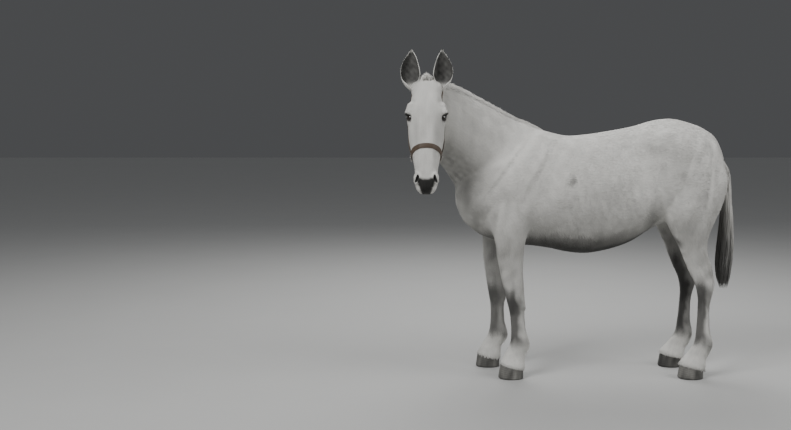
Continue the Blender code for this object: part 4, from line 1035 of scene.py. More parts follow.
def headTone(tone, points, onHeadShare):
    # dark muzzle, chin and nostrils, dark lids with painted shade round each eye, painted shade on the cheeks
    # below the eyes and a greyer spot in the middle of the forehead
    down, aside, out = headPlaces(points)
    side = np.abs(aside)
    middle = eased(0.586, 0.606, down + 0.22 * side + 0.002 * cloud(points, 0.03, 7))
    breadth = 0.055 - 0.44 * np.clip(down - 0.604, 0, 0.08) + 0.0015 * cloud(points, 0.02, 10)
    patch = middle * (1 - eased(-0.008, 0.006, side - breadth)) * eased(-0.13, -0.09, out)
    chin = bell(out + 0.125, 0.02) * eased(0.60, 0.63, down) * (1 - eased(0.02, 0.04, side))
    dark = np.maximum(patch, marksAndShade["chin"] * chin)
    long, high = head["slit"]
    for way in (-1, 1):
        hole, facing = nostrilPlaces(points, way)
        dark = np.maximum(dark, facing * (1 - eased(0.9, 1.15, hole)))
        local = points - eyeCentre(way)
        along, rise, outOfEye = eyeAxes(way)
        a, u = dot(local, along), dot(local, rise)
        slit = np.sqrt(((a - 0.004) / (long * 1.25)) ** 2 + ((u - 0.002 - 0.20 * a) / (high * 1.25)) ** 2)
        # dark lid skin, with painted shade round the eye
        lids = (1 - eased(0.95, 1.75, slit)) * (dot(local, outOfEye) > -0.012)
        dark = np.maximum(dark, marksAndShade["lids"] * lids)
    tone = darker(tone, "muzzle", dark * onHeadShare)
    # painted shade beneath each eye along the facial crest
    cheekShade = bell(side - 0.058, 0.018) * bell(down - 0.33, 0.07) * (out > -0.12)
    tone = darker(tone, "cheekShade", cheekShade * onHeadShare)
    return darker(tone, "forehead", bell(side, 0.02) * bell(down - 0.09, 0.05) * onHeadShare)


def coatTone(points, normals):
    # the coat's tone, times 1 less darkness times cover for each marking and each painted shade, with the
    # ears' cups over it
    x, y, z = points.T
    onHeadShare = eased(-0.02, 0.02, headDistance(points))
    offHead = 1 - onHeadShare
    tone = np.full(len(points), marksAndShade["coat"])
    tone *= 1 + marksAndShade["mottle"] * cloud(points, 0.085, 1) + marksAndShade["blotch"] * cloud(points, 0.33, 2)
    flank = eased(0.35, 0.7, x) * bell(z - 1.05, 0.25) * offHead
    tone = darker(tone, "dapple", flank * np.clip(cloud(points, 0.05, 3), 0, 2))
    for mx, my, mz, rx, ry, rz, dark, only in marksAndShade["patchesAndShade"]:
        near = ((x - mx) / rx) ** 2 + ((np.abs(y) + my) / ry) ** 2 + ((z - mz) / rz) ** 2
        side = 1.0 if only == 0 else (y * only > 0)
        tone *= 1 - dark * np.exp(-near) * side * offHead
    # painted shade on the underside that faces down, over a darker belly coat
    under = eased(0.30, 0.62, -normals[:, 2] + 0.05 * cloud(points, 0.07, 9)) * (z > 0.70)
    tone = darker(tone, "belly", under * bell(z - 0.81, 0.13) * offHead)
    # painted shade in the fold of the flank in front of the stifle
    tone = darker(tone, "fold", bell(x - 1.19, 0.05) * bell(z - 0.99, 0.07) * offHead)
    tone = headTone(legTone(tone, points), points, onHeadShare)
    # darker hair under the neck, with painted shade there
    throat = eased(1.7, 2.9, np.abs(neckPlace(points)[1]) / girth["neck"])
    throat = throat * eased(-0.10, 0.05, neckDistance(points)) * (z > 1.0) * offHead
    tone = darker(tone, "throat", throat * (1 + 0.2 * cloud(points, 0.05, 16)))
    inEar = earInside(points, normals)
    tone = tone * (1 - inEar) + marksAndShade["earCups"] * (1 + 0.25 * cloud(points, 0.03, 8)) * inEar
    return np.clip(tone, 0.015, 0.9)


def earInside(points, normals):
    # 1 inside the cup of an ear, 0 on its back and its pale rims
    inside = np.zeros(len(points))
    for side in (-1, 1):
        root, axis, front, across = earFrame(side)
        local = points - root
        v = dot(local, axis) / head["earLength"] + 0.08
        bow, spread = earCurve(v)
        wide, deep = dot(local, across) - bow, dot(local, front)
        angle = np.arctan2(wide, -deep / 0.74)
        radial = unit(across * wide[:, None] + front * (deep / 0.55)[:, None])
        inward = eased(0.15, -0.25, dot(normals, radial))
        rim = eased(0.78, 0.88, np.abs(angle) / spread)
        near = (v > 0.06) * (v < 1.0) * (np.linalg.norm(local, axis=1) < 0.30)
        fade = eased(0.10, 0.30, v) * (1 - 0.5 * eased(0.9, 0.98, v))
        inside = np.maximum(inside, inward * (1 - rim) * near * fade)
    return inside


# Places on the skin, in metres along and round each part, for the grain and for the unwrap

girth = {"torso": 0.27, "neck": 0.17, "head": 0.10, "legs": 0.055}  # each part's radius


def torsoPlace(points):
    # metres back from the breast, and round a line at the height 1.15
    x, y, z = points.T
    return x, np.arctan2(y, z - 1.15) * girth["torso"]


def neckPlace(points):
    # metres along the neck's middle, and round it from the crest
    crest, under, way, middle, nearest = nearestNeck(points, 120)
    rise = unit(crest - under)[nearest]
    local = points - middle[nearest]
    turn = np.arctan2(dot(local, way[nearest]), dot(local, rise))
    return distanceAlong(middle)[nearest], turn * girth["neck"]


def headPlace(points):
    # metres down the face, and round a line 0.10 under it
    down, aside, out = headPlaces(points)
    return down, np.arctan2(aside, out + 0.10) * girth["head"]


def legPlace(points):
    # height, and round the leg's middle
    _, _, share, across, _ = legPlaces(points)
    return points[:, 2], np.arctan2(across, share * 2 - 1) * girth["legs"]


def regionsOf(points):
    # 0 torso, 1 neck, 2 head and ears, 3 legs
    fore = points[:, 0] < 0.85
    region = np.where(points[:, 2] < np.where(fore, 0.90, 1.00), 3, 0)
    region = np.where((neckDistance(points) > 0) & (points[:, 2] > 1.0), 1, region)
    return np.where(headDistance(points) > 0, 2, region)


def grainPlace(points):
    # metres along and round each part, and a step of 3 between the parts
    region = regionsOf(points)
    places = [torsoPlace(points), neckPlace(points), headPlace(points), legPlace(points)]
    along = np.choose(region, [p[0] for p in places])
    around = np.choose(region, [p[1] for p in places])
    return np.stack([along, around, region * 3.0], axis=1)


def lieOf(points, normals):
    # which way the coat lies: down the face, back along the neck and body, down the legs
    down, aside, out = headPlaces(points)
    along = np.stack([np.ones(len(points)), 0 * aside, -0.30 - 0.55 * eased(0.1, 0.0, points[:, 0])], axis=1)
    crest, under, _, middle, nearest = nearestNeck(points, 60)
    heading = unit(np.gradient(middle, axis=0)) * -1
    neckWay = heading[nearest] - unit(crest - under)[nearest] * 0.25
    legWay = np.stack([0.10 + 0 * aside, 0 * aside, -np.ones(len(points))], axis=1)
    faceWay = downFace + leftward * (np.sign(aside) * 0.25)[:, None] - outOfFace * 0.15
    cheekWay = downFace * 0.6 - outOfFace * 0.9
    cheek = eased(0.10, 0.16, -out)[:, None] * (down > 0.05)[:, None]
    faceWay = faceWay * (1 - cheek) + cheekWay * cheek
    faceWay = np.where((down < -0.005)[:, None], -downFace, faceWay)
    z = points[:, 2]
    legShare = (1 - eased(0.85, 1.15, z))[:, None]
    neckShare = eased(-0.22, 0.16, neckDistance(points))[:, None] * (z > 1.0)[:, None]
    headShare = eased(-0.03, 0.03, headDistance(points))[:, None]
    way = along * (1 - legShare) + legWay * legShare
    way = way * (1 - neckShare) + neckWay * neckShare
    way = way * (1 - headShare) + faceWay * headShare
    return flattened(way, normals)


# Tufts: thin flat spikes with a bend, made all at once

tuftPoints = 7
patchHalf = 0.0015  # a tuft's patch on the unwrap is 0.003 across


def tuftShape(roots, normals, ways, length, width, lift, sink, droop):
    # two rings of three points and a tip: each point is root + way * length * t
    # + normal * length * (lift * t - droop * t * t), narrower toward the tip
    side = np.cross(normals, ways)
    points = []
    for t, wide in ((0.0, 0.75), (0.45, 1.0)):
        rise = length * (lift * t - droop * t * t) - (sink if t == 0 else 0)
        middle = roots + ways * (length * t)[:, None] + normals * rise[:, None]
        half = side * (width * wide / 2)[:, None]
        thick = normals * (width * 0.11 + 0.0001)[:, None]
        points += [middle - half, middle + half, middle + thick]
    rise = length * (lift - droop)
    points.append(roots + ways * length[:, None] + normals * rise[:, None])
    points = np.stack(points, axis=1)
    first = (np.arange(len(roots)) * tuftPoints)[:, None]
    corners = np.array(((0, 1, 4, 3), (1, 2, 5, 4), (2, 0, 3, 5)))
    ends = np.array(((0, 2, 1), (3, 4, 6), (4, 5, 6), (5, 3, 6)))
    quads = (first[:, :, None] + corners).reshape(-1, 4)
    triangles = (first[:, :, None] + ends).reshape(-1, 3)
    return points.reshape(-1, 3), [quads, triangles]


def softenNormals(mesh, outs, share):
    # tufts that lie flat are lit as the skin under them is, apart from this share of their own shape
    skinward = np.repeat(outs, tuftPoints, axis=0)
    share = np.repeat(share, tuftPoints)[:, None]
    blended = unit(skinward * (1 - share) + normalsOf(mesh) * share)
    mesh.normals_split_custom_set_from_vertices(blended.tolist())


def patchPlaces(centres, spread):
    # a patch round each centre, kept inside the unit square
    return (np.clip(centres, 0.003, 0.997)[:, None] + spread * patchHalf).reshape(-1, 2)


def coatUnwrap(mesh, centres):
    # each tuft is a patch at its root's place
    spread = np.array(((-1, -1), (1, -1), (0, -0.8), (-1, 0), (1, 0), (0, 0.2), (0, 1)))
    writeUnwrap(mesh, patchPlaces(centres, spread))


# Materials

def principled(name):
    material = bpy.data.materials.new(name)
    material.use_nodes = True
    tree = material.node_tree
    return material, tree, tree.nodes["Principled BSDF"]


def grainGroup():
    # colour flecks and height: two noises, one fine and one broad, on any coordinates
    group = bpy.data.node_groups.new("grain", "ShaderNodeTree")
    face = group.interface
    face.new_socket("Place", in_out="INPUT", socket_type="NodeSocketVector")
    face.new_socket("Color", in_out="INPUT", socket_type="NodeSocketColor")
    face.new_socket("Fine", in_out="INPUT", socket_type="NodeSocketFloat").default_value = 400.0
    face.new_socket("Broad", in_out="INPUT", socket_type="NodeSocketFloat").default_value = 40.0
    face.new_socket("Amount", in_out="INPUT", socket_type="NodeSocketFloat").default_value = 0.2
    face.new_socket("Color", in_out="OUTPUT", socket_type="NodeSocketColor")
    face.new_socket("Height", in_out="OUTPUT", socket_type="NodeSocketFloat")
    nodes, links = group.nodes, group.links
    source, target = nodes.new("NodeGroupInput"), nodes.new("NodeGroupOutput")
    noises = []
    for scale in ("Fine", "Broad"):
        noise = nodes.new("ShaderNodeTexNoise")
        noise.inputs["Detail"].default_value = 3.0
        links.new(source.outputs["Place"], noise.inputs["Vector"])
        links.new(source.outputs[scale], noise.inputs["Scale"])
        noises.append(noise)
    both = nodes.new("ShaderNodeMath")
    both.operation = "ADD"
    links.new(noises[0].outputs["Fac"], both.inputs[0])
    links.new(noises[1].outputs["Fac"], both.inputs[1])
    shade = nodes.new("ShaderNodeMath")
    shade.operation = "MULTIPLY_ADD"
    shade.inputs[2].default_value = 1.0
    centred = nodes.new("ShaderNodeMath")
    centred.operation = "SUBTRACT"
    centred.inputs[1].default_value = 1.0
    links.new(both.outputs[0], centred.inputs[0])
    links.new(centred.outputs[0], shade.inputs[0])
    links.new(source.outputs["Amount"], shade.inputs[1])
    times = nodes.new("ShaderNodeMix")
    times.data_type = "RGBA"
    times.blend_type = "MULTIPLY"
    times.inputs["Factor"].default_value = 1.0
    links.new(source.outputs["Color"], times.inputs["A"])
    links.new(shade.outputs[0], times.inputs["B"])
    links.new(times.outputs["Result"], target.inputs["Color"])
    links.new(both.outputs[0], target.inputs["Height"])
    return group


grain = grainGroup()


def grainMaterial(name, look, attribute=None, place="object", stretch=(1, 1, 1)):
    # colour from an attribute or from the look, roughened by the grain group, with its bump
    material, tree, shader = principled(name)
    nodes, links = tree.nodes, tree.links
    if place == "object":
        spot = nodes.new("ShaderNodeTexCoord").outputs["Object"]
    else:
        named = nodes.new("ShaderNodeAttribute")
        named.attribute_name = place
        spot = named.outputs["Vector"]
    mapping = nodes.new("ShaderNodeMapping")
    mapping.inputs["Scale"].default_value = stretch
    links.new(spot, mapping.inputs["Vector"])
    flecks = nodes.new("ShaderNodeGroup")
    flecks.node_tree = grain
    links.new(mapping.outputs["Vector"], flecks.inputs["Place"])
    if attribute:
        colour = nodes.new("ShaderNodeAttribute")
        colour.attribute_name = attribute
        links.new(colour.outputs["Color"], flecks.inputs["Color"])
    else:
        flecks.inputs["Color"].default_value = (*look["colour"], 1.0)
    flecks.inputs["Fine"].default_value = look["fine"]
    flecks.inputs["Broad"].default_value = look["broad"]
    flecks.inputs["Amount"].default_value = look["amount"]
    bump = nodes.new("ShaderNodeBump")
    bump.inputs["Strength"].default_value = look["bump"]
    bump.inputs["Distance"].default_value = look["depth"]
    links.new(flecks.outputs["Height"], bump.inputs["Height"])
    links.new(bump.outputs["Normal"], shader.inputs["Normal"])
    links.new(flecks.outputs["Color"], shader.inputs["Base Color"])
    shader.inputs["Roughness"].default_value = look["roughness"]
    shader.inputs["Metallic"].default_value = look.get("metal", 0.0)
    shader.inputs["Specular IOR Level"].default_value = look.get("specular", 0.5)
    shader.inputs["Coat Weight"].default_value = look.get("gloss", 0.0)
    shader.inputs["Sheen Weight"].default_value = look.get("sheen", 0.0)
    return material


looks = {
    "skin": {"fine": 1.0, "broad": 0.22, "amount": 0.28, "bump": 0.55, "depth": 0.0014,
             "roughness": 0.75, "specular": 0.20, "sheen": 0.04},
    "hair": {"fine": 900.0, "broad": 120.0, "amount": 0.16, "bump": 0.2, "depth": 0.0004,
             "roughness": 0.68, "specular": 0.20},
    "horn": {"fine": 190.0, "broad": 16.0, "amount": 0.55, "bump": 0.5, "depth": 0.0009,
             "roughness": 0.50, "specular": 0.40},
    "leather": {"colour": (0.090, 0.062, 0.042), "fine": 1300.0, "broad": 90.0, "amount": 0.55,
                "bump": 0.45, "depth": 0.0004, "roughness": 0.52},
    "steel": {"colour": (0.42, 0.41, 0.39), "fine": 900.0, "broad": 120.0, "amount": 0.35,
              "bump": 0.2, "depth": 0.0001, "roughness": 0.34, "metal": 1.0},
    "eye": {"fine": 1500.0, "broad": 260.0, "amount": 0.30, "bump": 0.0, "depth": 0.0001,
            "roughness": 0.06, "gloss": 1.0},
    "floor": {"colour": (0.44, 0.44, 0.43), "fine": 60.0, "broad": 2.0, "amount": 0.05,
              "bump": 0.05, "depth": 0.001, "roughness": 0.9},
}
skinMaterial = grainMaterial("pale_skin", looks["skin"], "tone", "grainPlace", (70, 620, 1))
hairMaterial = grainMaterial("pale_hair", looks["hair"], "tone")
tailMaterial = grainMaterial("tail_strands", looks["hair"], "tone")
hornMaterial = grainMaterial("hoof_horn_bands", looks["horn"], "tone", "object", (1, 1, 0.10))
leatherMaterial = grainMaterial("worn_leather", looks["leather"])
steelMaterial = grainMaterial("dull_steel", looks["steel"])
eyeMaterial = grainMaterial("wet_eye", looks["eye"], "tone")
floorMaterial = grainMaterial("plain_floor", looks["floor"])


def finishPiece(made, slotName, *nodes):
    movePoints(made.data, pointsOf(made.data) + toFrame)
    made.data.shade_smooth()
    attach(made, "root")
    if nodes:
        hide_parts(*nodes)
    return made


# Coat

coat = {
    # region (0 torso, 1 neck, 2 head, 3 legs), side or fore and hind, tufts, length, width, rise
    "pieces": {
        "torso_left": (0, -1, 19000, 0.0220, 0.0040, 0.09),
        "torso_right": (0, 1, 19000, 0.0220, 0.0040, 0.09),
        "neck_left": (1, -1, 15000, 0.0200, 0.0036, 0.09),
        "neck_right": (1, 1, 15000, 0.0200, 0.0036, 0.09),
        "head_left": (2, 1, 17000, 0.0095, 0.0023, 0.14),
        "head_right": (2, -1, 17000, 0.0095, 0.0023, 0.14),
        "legs_fore": (3, -1, 16500, 0.0130, 0.0030, 0.12),
        "legs_hind": (3, 1, 18500, 0.0130, 0.0030, 0.12),
    },
    "sink": 0.0010, "droop": 0.62,
    # tones of a tuft's seven points beside the skin's, the tip last
    "tips": (0.98, 0.98, 0.99, 1.0, 1.0, 1.01, 1.03),
    "seed": 21, "ownShape": 0.22,
}


def coatGrowth(points, normals):
    # how many tufts grow, and how much longer and more raised they are, than the part's mean
    x, y, z = points.T
    down, aside, out = headPlaces(points)
    region = regionsOf(points)
    more, longer, raised = np.ones(len(points)), np.ones(len(points)), np.ones(len(points))
    below = (normals[:, 2] < -0.5) & (region == 0)
    edge = (np.abs(y) < 0.05) & (region < 2)
    more += 1.5 * below + 1.8 * edge
    longer += 0.35 * below
    share = legPlaces(points)[2]
    legsHere = region == 3
    feather = legsHere & (share > 0.72) & (z > 0.165) & (z < 0.28)
    behind = legsHere & (share > 0.82) & (z > 0.28)
    crown = legsHere & (z - coronetPlanes(points) < 0.016)
    more += 5.0 * feather + 1.4 * behind + 3.0 * crown
    longer += 1.3 * feather + 0.45 * behind + 0.15 * crown
    raised += 0.6 * feather + 0.4 * behind + 0.4 * crown
    longer *= np.where(legsHere & (z > 0.6), 1.25, 1.0)
    elbow = bell(x - 0.45, 0.07) * bell(z - 0.93, 0.06) + bell(x - 1.24, 0.06) * bell(z - 1.0, 0.08)
    more += 2.0 * elbow
    longer += 0.4 * elbow
    headHere = region == 2
    throat = bell(headDistance(points), 0.06) * (z < 1.70)
    more += 1.6 * throat
    longer += 0.5 * throat * ~headHere
    muzzle = headHere & (down > 0.56)
    more *= np.where(muzzle, 0.55, 1.0)
    longer *= np.where(muzzle, 0.55, 1.0)
    lids = np.zeros(len(points))
    for way in (-1, 1):
        local = points - eyeCentre(way)
        lids = np.maximum(lids, 1 - eased(0.024, 0.030, np.linalg.norm(local, axis=1)))
    more *= 1 - lids
    jaw = headHere & (out < -0.17)
    longer += 0.45 * jaw
    onEars = headHere & (down < -0.02) & (np.abs(aside) > 0.03)
    inEar = earInside(points, normals)
    more += 1.8 * onEars + 1.5 * inEar
    longer *= 1 - 0.25 * onEars
    raised *= 1 - 0.5 * inEar
    longer *= 1 - 0.45 * eased(-0.19, -0.22, down) * onEars
    return more, longer, raised


def growCoat(skinObject):
    # roots are random within even steps of area times growth over the triangles, and each tuft lies
    # along the coat at its root, turned aside by a slow swirl and a small random share
    mesh = skinObject.data
    points, normals, triangles = pointsOf(mesh), normalsOf(mesh), trianglesOf(mesh)
    rng = np.random.default_rng(coat["seed"])
    corners = points[triangles]
    area = np.linalg.norm(np.cross(corners[:, 1] - corners[:, 0], corners[:, 2] - corners[:, 0]), axis=1) / 2
    middle = corners.mean(axis=1)
    facing = unit(normals[triangles].sum(axis=1))
    region = regionsOf(middle)
    more, longer, raised = coatGrowth(middle, facing)
    above = middle[:, 2] - coronetPlanes(middle) > 0.001
    halves = np.stack([middle[:, 1], middle[:, 1], headPlaces(middle)[1], middle[:, 0] - 0.85])
    for name, (number, side, count, long, wide, rise) in coat["pieces"].items():
        chance = area * more * (region == number) * (above | (middle[:, 2] > 0.2))
        chance = chance * (halves[number] * side > 0)
        steps = (np.arange(count) + rng.uniform(0, 1, count)) / count
        chosen = np.searchsorted(np.cumsum(chance) / chance.sum(), steps * 0.999999)
        a, b = rng.uniform(size=(2, count))
        flip = a + b > 1
        a, b = np.where(flip, 1 - a, a), np.where(flip, 1 - b, b)
        share = np.stack([1 - a - b, a, b], axis=1)[..., None]
        roots = (corners[chosen] * share).sum(axis=1)
        outs = unit((normals[triangles[chosen]] * share).sum(axis=1))
        ways = lieOf(roots, outs)
        sideways = np.cross(outs, ways)
        swirl = 0.10 * cloud(roots, 0.12, 31) + rng.normal(0, 0.09, count)
        ways = unit(ways + sideways * swirl[:, None])
        length = long * longer[chosen] * rng.uniform(0.75, 1.25, count)
        width = wide * np.sqrt(longer[chosen]) * rng.uniform(0.8, 1.2, count)
        lift = rise * raised[chosen] * rng.uniform(0.75, 1.3, count)
        shape = tuftShape(roots, outs, ways, length, width, lift, coat["sink"], lift * coat["droop"])
        piece = makeObject("coat_" + name, shape, hairMaterial)
        tone = coatTone(roots, outs) * rng.uniform(0.95, 1.04, count)
        writeTone(piece.data, (tone[:, None] * coat["tips"]).ravel())
        coatUnwrap(piece.data, unwrapped(roots, name.split("_")[0]))
        ownShare = np.clip(coat["ownShape"] + 2.5 * (lift - 0.20), coat["ownShape"], 1.0)
        softenNormals(piece.data, outs, ownShare)
        finishPiece(piece, "pale_coat")


def unwrapped(points, name):
    # each part's own unwrap in the unit square: along it and round it, four cells for the legs
    places = {"torso": torsoPlace, "neck": neckPlace, "head": headPlace, "legs": legPlace}[name]
    along, around = places(points)
    spans = {"torso": (0.0, 1.7), "neck": (0.0, 0.95), "head": (-0.28, 0.68), "legs": (0.04, 1.01)}
    low, high = spans[name]
    u, v = (along - low) / (high - low), around / (2 * girth[name] * math.pi) + 0.5
    if name == "legs":
        fore, side, _, _, _ = legPlaces(points)
        cell = np.where(fore, 0, 2) + (side > 0)
        v = (v + cell) / 4
    if name == "head":
        aside = headPlaces(points)[1]
        u = np.where(along < -0.02, (along + 0.28) / 0.26 * 0.24, 0.26 + (along + 0.02) / 0.70 * 0.73)
        v = np.where(along < -0.02, np.where(aside > 0, 0.5, 0.0) + 0.5 * v, v)
    return np.stack([u, v], axis=1)


# Mane, cut short, and the tuft between the ears

mane = {"tufts": 9000, "span": (0.10, 0.97), "height": 0.010, "width": 0.0032, "halfWidth": 0.030,
        "pollTufts": 900, "pollHeight": 0.055, "pollWidth": 0.0044, "tone": 0.69,
        "tips": (0.96, 0.96, 0.97, 1.0, 1.0, 1.0, 1.04), "seed": 11}


def makeMane():
    # stubble that stands on the crest and lies along the coat at both its edges, shorter toward the
    # withers, and a taller tuft at the poll
    rng = np.random.default_rng(mane["seed"])
    count = mane["tufts"]
    crest, under, side, _ = neckStations(400)
    share = rng.uniform(*mane["span"], count)
    index = (share * 399).astype(int)
    rise = unit(crest - under)[index]
    back = unit(np.gradient(crest, axis=0))[index] * -1
    aside = rng.normal(0, 0.42, count).clip(-1, 1)
    across = side[index] * (aside * mane["halfWidth"])[:, None]
    roots = crest[index] + across - rise * (0.004 + 14.0 * (aside * mane["halfWidth"]) ** 2)[:, None]
    ragged = 1 + 0.16 * cloud(roots, 0.05, 12) + 0.10 * cloud(roots, 0.018, 13)
    height = mane["height"] * (0.35 + 0.65 * eased(0.16, 0.41, share)) * eased(0.98, 0.86, share) * ragged
    height = (height * (1 - np.abs(aside)) ** 0.8 + 0.009) * rng.uniform(0.80, 1.10, count)
    flat = eased(0.25, 0.85, np.abs(aside))
    skinward = unit(rise * (1 - 0.75 * np.abs(aside))[:, None] + side[index] * aside[:, None])
    roots = roots - skinward * (0.0045 * flat)[:, None]
    lean = rng.uniform(0.2, 0.7, count)[:, None]
    sway = rng.normal(0, 0.12, count)[:, None]
    upright = rise + back * lean + side[index] * sway
    lying = flattened(back * 0.9 - rise * 0.35, skinward) + skinward * 0.10
    ways = unit(upright * (1 - flat)[:, None] + lying * flat[:, None])
    outs = flattened(skinward + side[index] * rng.normal(0, 0.5, count)[:, None] * (1 - flat)[:, None], ways)
    length = height * (1 + 0.5 * flat)
    width, lift = np.full(count, mane["width"]), np.full(count, 0.03)
    shapes = [tuftShape(roots, outs, ways, length, width, lift, 0.0, 0.12)]

    total = mane["pollTufts"]
    spot = rng.uniform(-1, 1, (total, 2))
    wide, deep = spot[:, 0] * 0.026 * (1 - 0.3 * np.abs(spot[:, 1])), -0.068 + spot[:, 1] * 0.034
    pollRoots = onHead(0.012 + 0.010 * np.abs(spot[:, 0]), wide, deep)
    pollWays = unit(-downFace + leftward * (wide * 12)[:, None] + outOfFace * (spot[:, 1] * 0.35)[:, None]
                    + rng.normal(0, 0.08, (total, 3)))
    pollOuts = flattened(rng.normal(0, 1, (total, 3)), pollWays)
    pollLength = mane["pollHeight"] * rng.uniform(0.80, 1.0, total) - np.abs(wide) * 0.45
    width, lift = np.full(total, mane["pollWidth"]), np.full(total, 0.03)
    shapes.append(tuftShape(pollRoots, pollOuts, pollWays, pollLength, width, lift, 0.0, 0.10))
    made = makeObject("mane_stubble", merged(shapes), hairMaterial)
    allRoots = np.vstack([roots, pollRoots])
    tone = mane["tone"] * (1 + 0.06 * cloud(allRoots, 0.04, 14)) * rng.uniform(0.90, 1.06, count + total)
    writeTone(made.data, (tone[:, None] * mane["tips"]).ravel())
    softOuts = np.vstack([skinward, unit(pollOuts * 0.4 + pollWays * 0.3 + outOfFace * 0.6)])
    softenNormals(made.data, softOuts, np.concatenate([np.full(count, 0.25), np.full(total, 0.9)]))
    u = np.concatenate([share * 0.8, 0.82 + (spot[:, 1] + 1) * 0.08])
    v = np.concatenate([aside, spot[:, 0]]) * 0.45 + 0.5
    coatUnwrap(made.data, np.stack([u, v], axis=1))
    return finishPiece(made, "pale_coat")


# Tail

tail = {
    # height, middle, reach fore and aft, half width
    "rows": [
        (1.380, 1.610, 0.035, 0.035), (1.345, 1.655, 0.034, 0.034), (1.290, 1.683, 0.030, 0.036),
        (1.200, 1.695, 0.028, 0.036), (1.100, 1.700, 0.031, 0.038), (0.950, 1.705, 0.042, 0.046),
        (0.800, 1.702, 0.053, 0.052), (0.700, 1.696, 0.053, 0.050), (0.620, 1.696, 0.045, 0.042),
        (0.540, 1.700, 0.026, 0.024),
    ],
    "locks": 1600, "stations": 10, "width": 0.0062, "clumps": 9, "seed": 7,
    # the core's top, its end and its share of the tail's thickness
    "core": (1.36, 0.66, 0.72),
    # where the unwrap starts and how far down it goes
    "top": 1.38, "unrolled": 0.86,
}


def tailAt(z):
    # middle, reach fore and aft, and half width at each height
    rows = np.array(tail["rows"])[::-1]
    return [np.interp(z, rows[:, 0], rows[:, k]) for k in (1, 2, 3)]


def makeTail():
    # a tapering core, and locks that start round it and fall, each drawn toward the nearest clump: a
    # three-sided tube that swells by a sine along its length and closes at its tip
    rng = np.random.default_rng(tail["seed"])
    top, low, thickness = tail["core"]
    z = np.linspace(top, low, 40)
    middle, reach, half = tailAt(z)
    centre = np.stack([middle, 0 * z, z], axis=1)
    core = thickness * (1 - 0.6 * eased(0.9, low, z))
    across, along = np.tile(rightward, (40, 1)), np.tile(aft, (40, 1))
    rings = eggRings(centre, across, reach * core, reach * core, half * core, along, 28, np.ones(40))
    coreShape = outward(gridShape(rings))

    count, stations = tail["locks"], tail["stations"]
    t = np.linspace(0, 1, stations)[None]
    start = 1.37 - 0.72 * rng.uniform(0, 1, count) ** 1.25
    length = rng.uniform(0.28, 0.62, count)
    length = np.minimum(length, start - tail["rows"][-1][0] - np.abs(rng.normal(0, 0.075, count)))
    angle = rng.uniform(0, 2 * math.pi, count)
    clump = np.round(angle * tail["clumps"] / (2 * math.pi)) * 2 * math.pi / tail["clumps"]
    depth = rng.uniform(0.62, 1.0, count)[:, None]
    drift = (clump - angle)[:, None] * eased(0.2, 1.0, t) * 0.6 + rng.normal(0, 0.16, count)[:, None] * t
    turned = angle[:, None] + drift + 0.05 * np.sin(9 * t + rng.uniform(0, 6, count)[:, None])
    height = start[:, None] - length[:, None] * t
    middle, reach, half = tailAt(height)
    fill = 0.55 + (depth - 0.55) * eased(0.0, 0.25, t)
    x = middle + reach * fill * np.cos(turned)
    y = half * fill * np.sin(turned)
    paths = np.stack([x, y, height], axis=-1)
    heading = unit(np.gradient(paths, axis=1))
    outs = np.stack([np.cos(turned), np.sin(turned), 0 * turned], axis=-1)
    sides = unit(np.cross(heading, outs))
    outs = np.cross(sides, heading)
    taper = (0.45 + 0.75 * np.sin(math.pi * t**0.7)) * (1 - t**3)
    width = tail["width"] * rng.uniform(0.7, 1.3, count)[:, None] * taper
    width = np.maximum(width, 0.0006)[..., None] / 2
    ring = np.stack([paths + sides * width, paths - sides * width, paths + outs * width * 0.5], axis=2)
    points = ring.reshape(-1, 3)
    first = (np.arange(count) * stations * 3)[:, None, None] + (np.arange(stations - 1) * 3)[None, :, None]
    faces = []
    for a, b in ((0, 1), (1, 2), (2, 0)):
        corners = [first + a, first + b, first + b + 3, first + a + 3]
        faces.append(np.concatenate(corners, axis=2).reshape(-1, 4))
    starts = (np.arange(count) * stations * 3)[:, None]
    ends = starts + (stations - 1) * 3
    faces.append(np.concatenate([starts + 2, starts + 1, starts], axis=1))
    faces.append(np.concatenate([ends, ends + 1, ends + 2], axis=1))
    made = makeObject("tail_locks", merged([outward((points, faces)), coreShape]), tailMaterial)
    allPoints = pointsOf(made.data)
    lockPoints = len(points)
    lockShades = np.repeat(rng.uniform(0.7, 1.15, count), stations * 3)
    strand = np.concatenate([lockShades, np.full(len(allPoints) - lockPoints, 0.6)])
    middle, reach, _ = tailAt(allPoints[:, 2])
    rear = (allPoints[:, 0] - middle) / np.maximum(reach, 0.01)
    pale = eased(0.66, 1.22, allPoints[:, 2] + 0.22 * rear + 0.06 * cloud(allPoints * (1, 1, 0.15), 0.03, 15))
    tone = (0.15 + 0.51 * pale) * strand
    tone *= 1 - 0.20 * eased(0.3, -1.0, rear)
    writeTone(made.data, tone)
    turn = (angle % (2 * math.pi)) / (2 * math.pi)
    corner = np.stack([(tail["top"] - start) / tail["unrolled"], turn], axis=1)
    tailUnwrap(made.data, corner, allPoints, lockPoints, stations * 3)
    return finishPiece(made, "tail_hair", "tail")


def tailUnwrap(mesh, corner, points, lockPoints, perLock):
    # a patch for each lock; the core is unrolled round the same square
    t = np.repeat(np.linspace(-1, 1, perLock // 3), 3)
    across = np.tile((-1.0, 1.0, 0.0), perLock // 3)
    patches = patchPlaces(corner, np.stack([t, across], axis=1))
    core = points[lockPoints:]
    middle = tailAt(core[:, 2])[0]
    turn = np.arctan2(core[:, 1], core[:, 0] - middle) / (2 * math.pi) + 0.5
    rolled = np.stack([(tail["top"] - core[:, 2]) / tail["unrolled"], turn], axis=1)
    writeUnwrap(mesh, np.vstack([patches, rolled]))


# Hooves

hoof = {"columns": 72, "rows": 46, "toe": 0.075, "toeFlare": 0.007, "half": 0.055, "halfFlare": 0.011,
        "heel": 0.90, "ringHeight": 0.0006, "rings": 7, "gap": 0.0006,
        "shades": {"fore_left": 0.155, "fore_right": 0.105, "hind_left": 0.150, "hind_right": 0.070}}


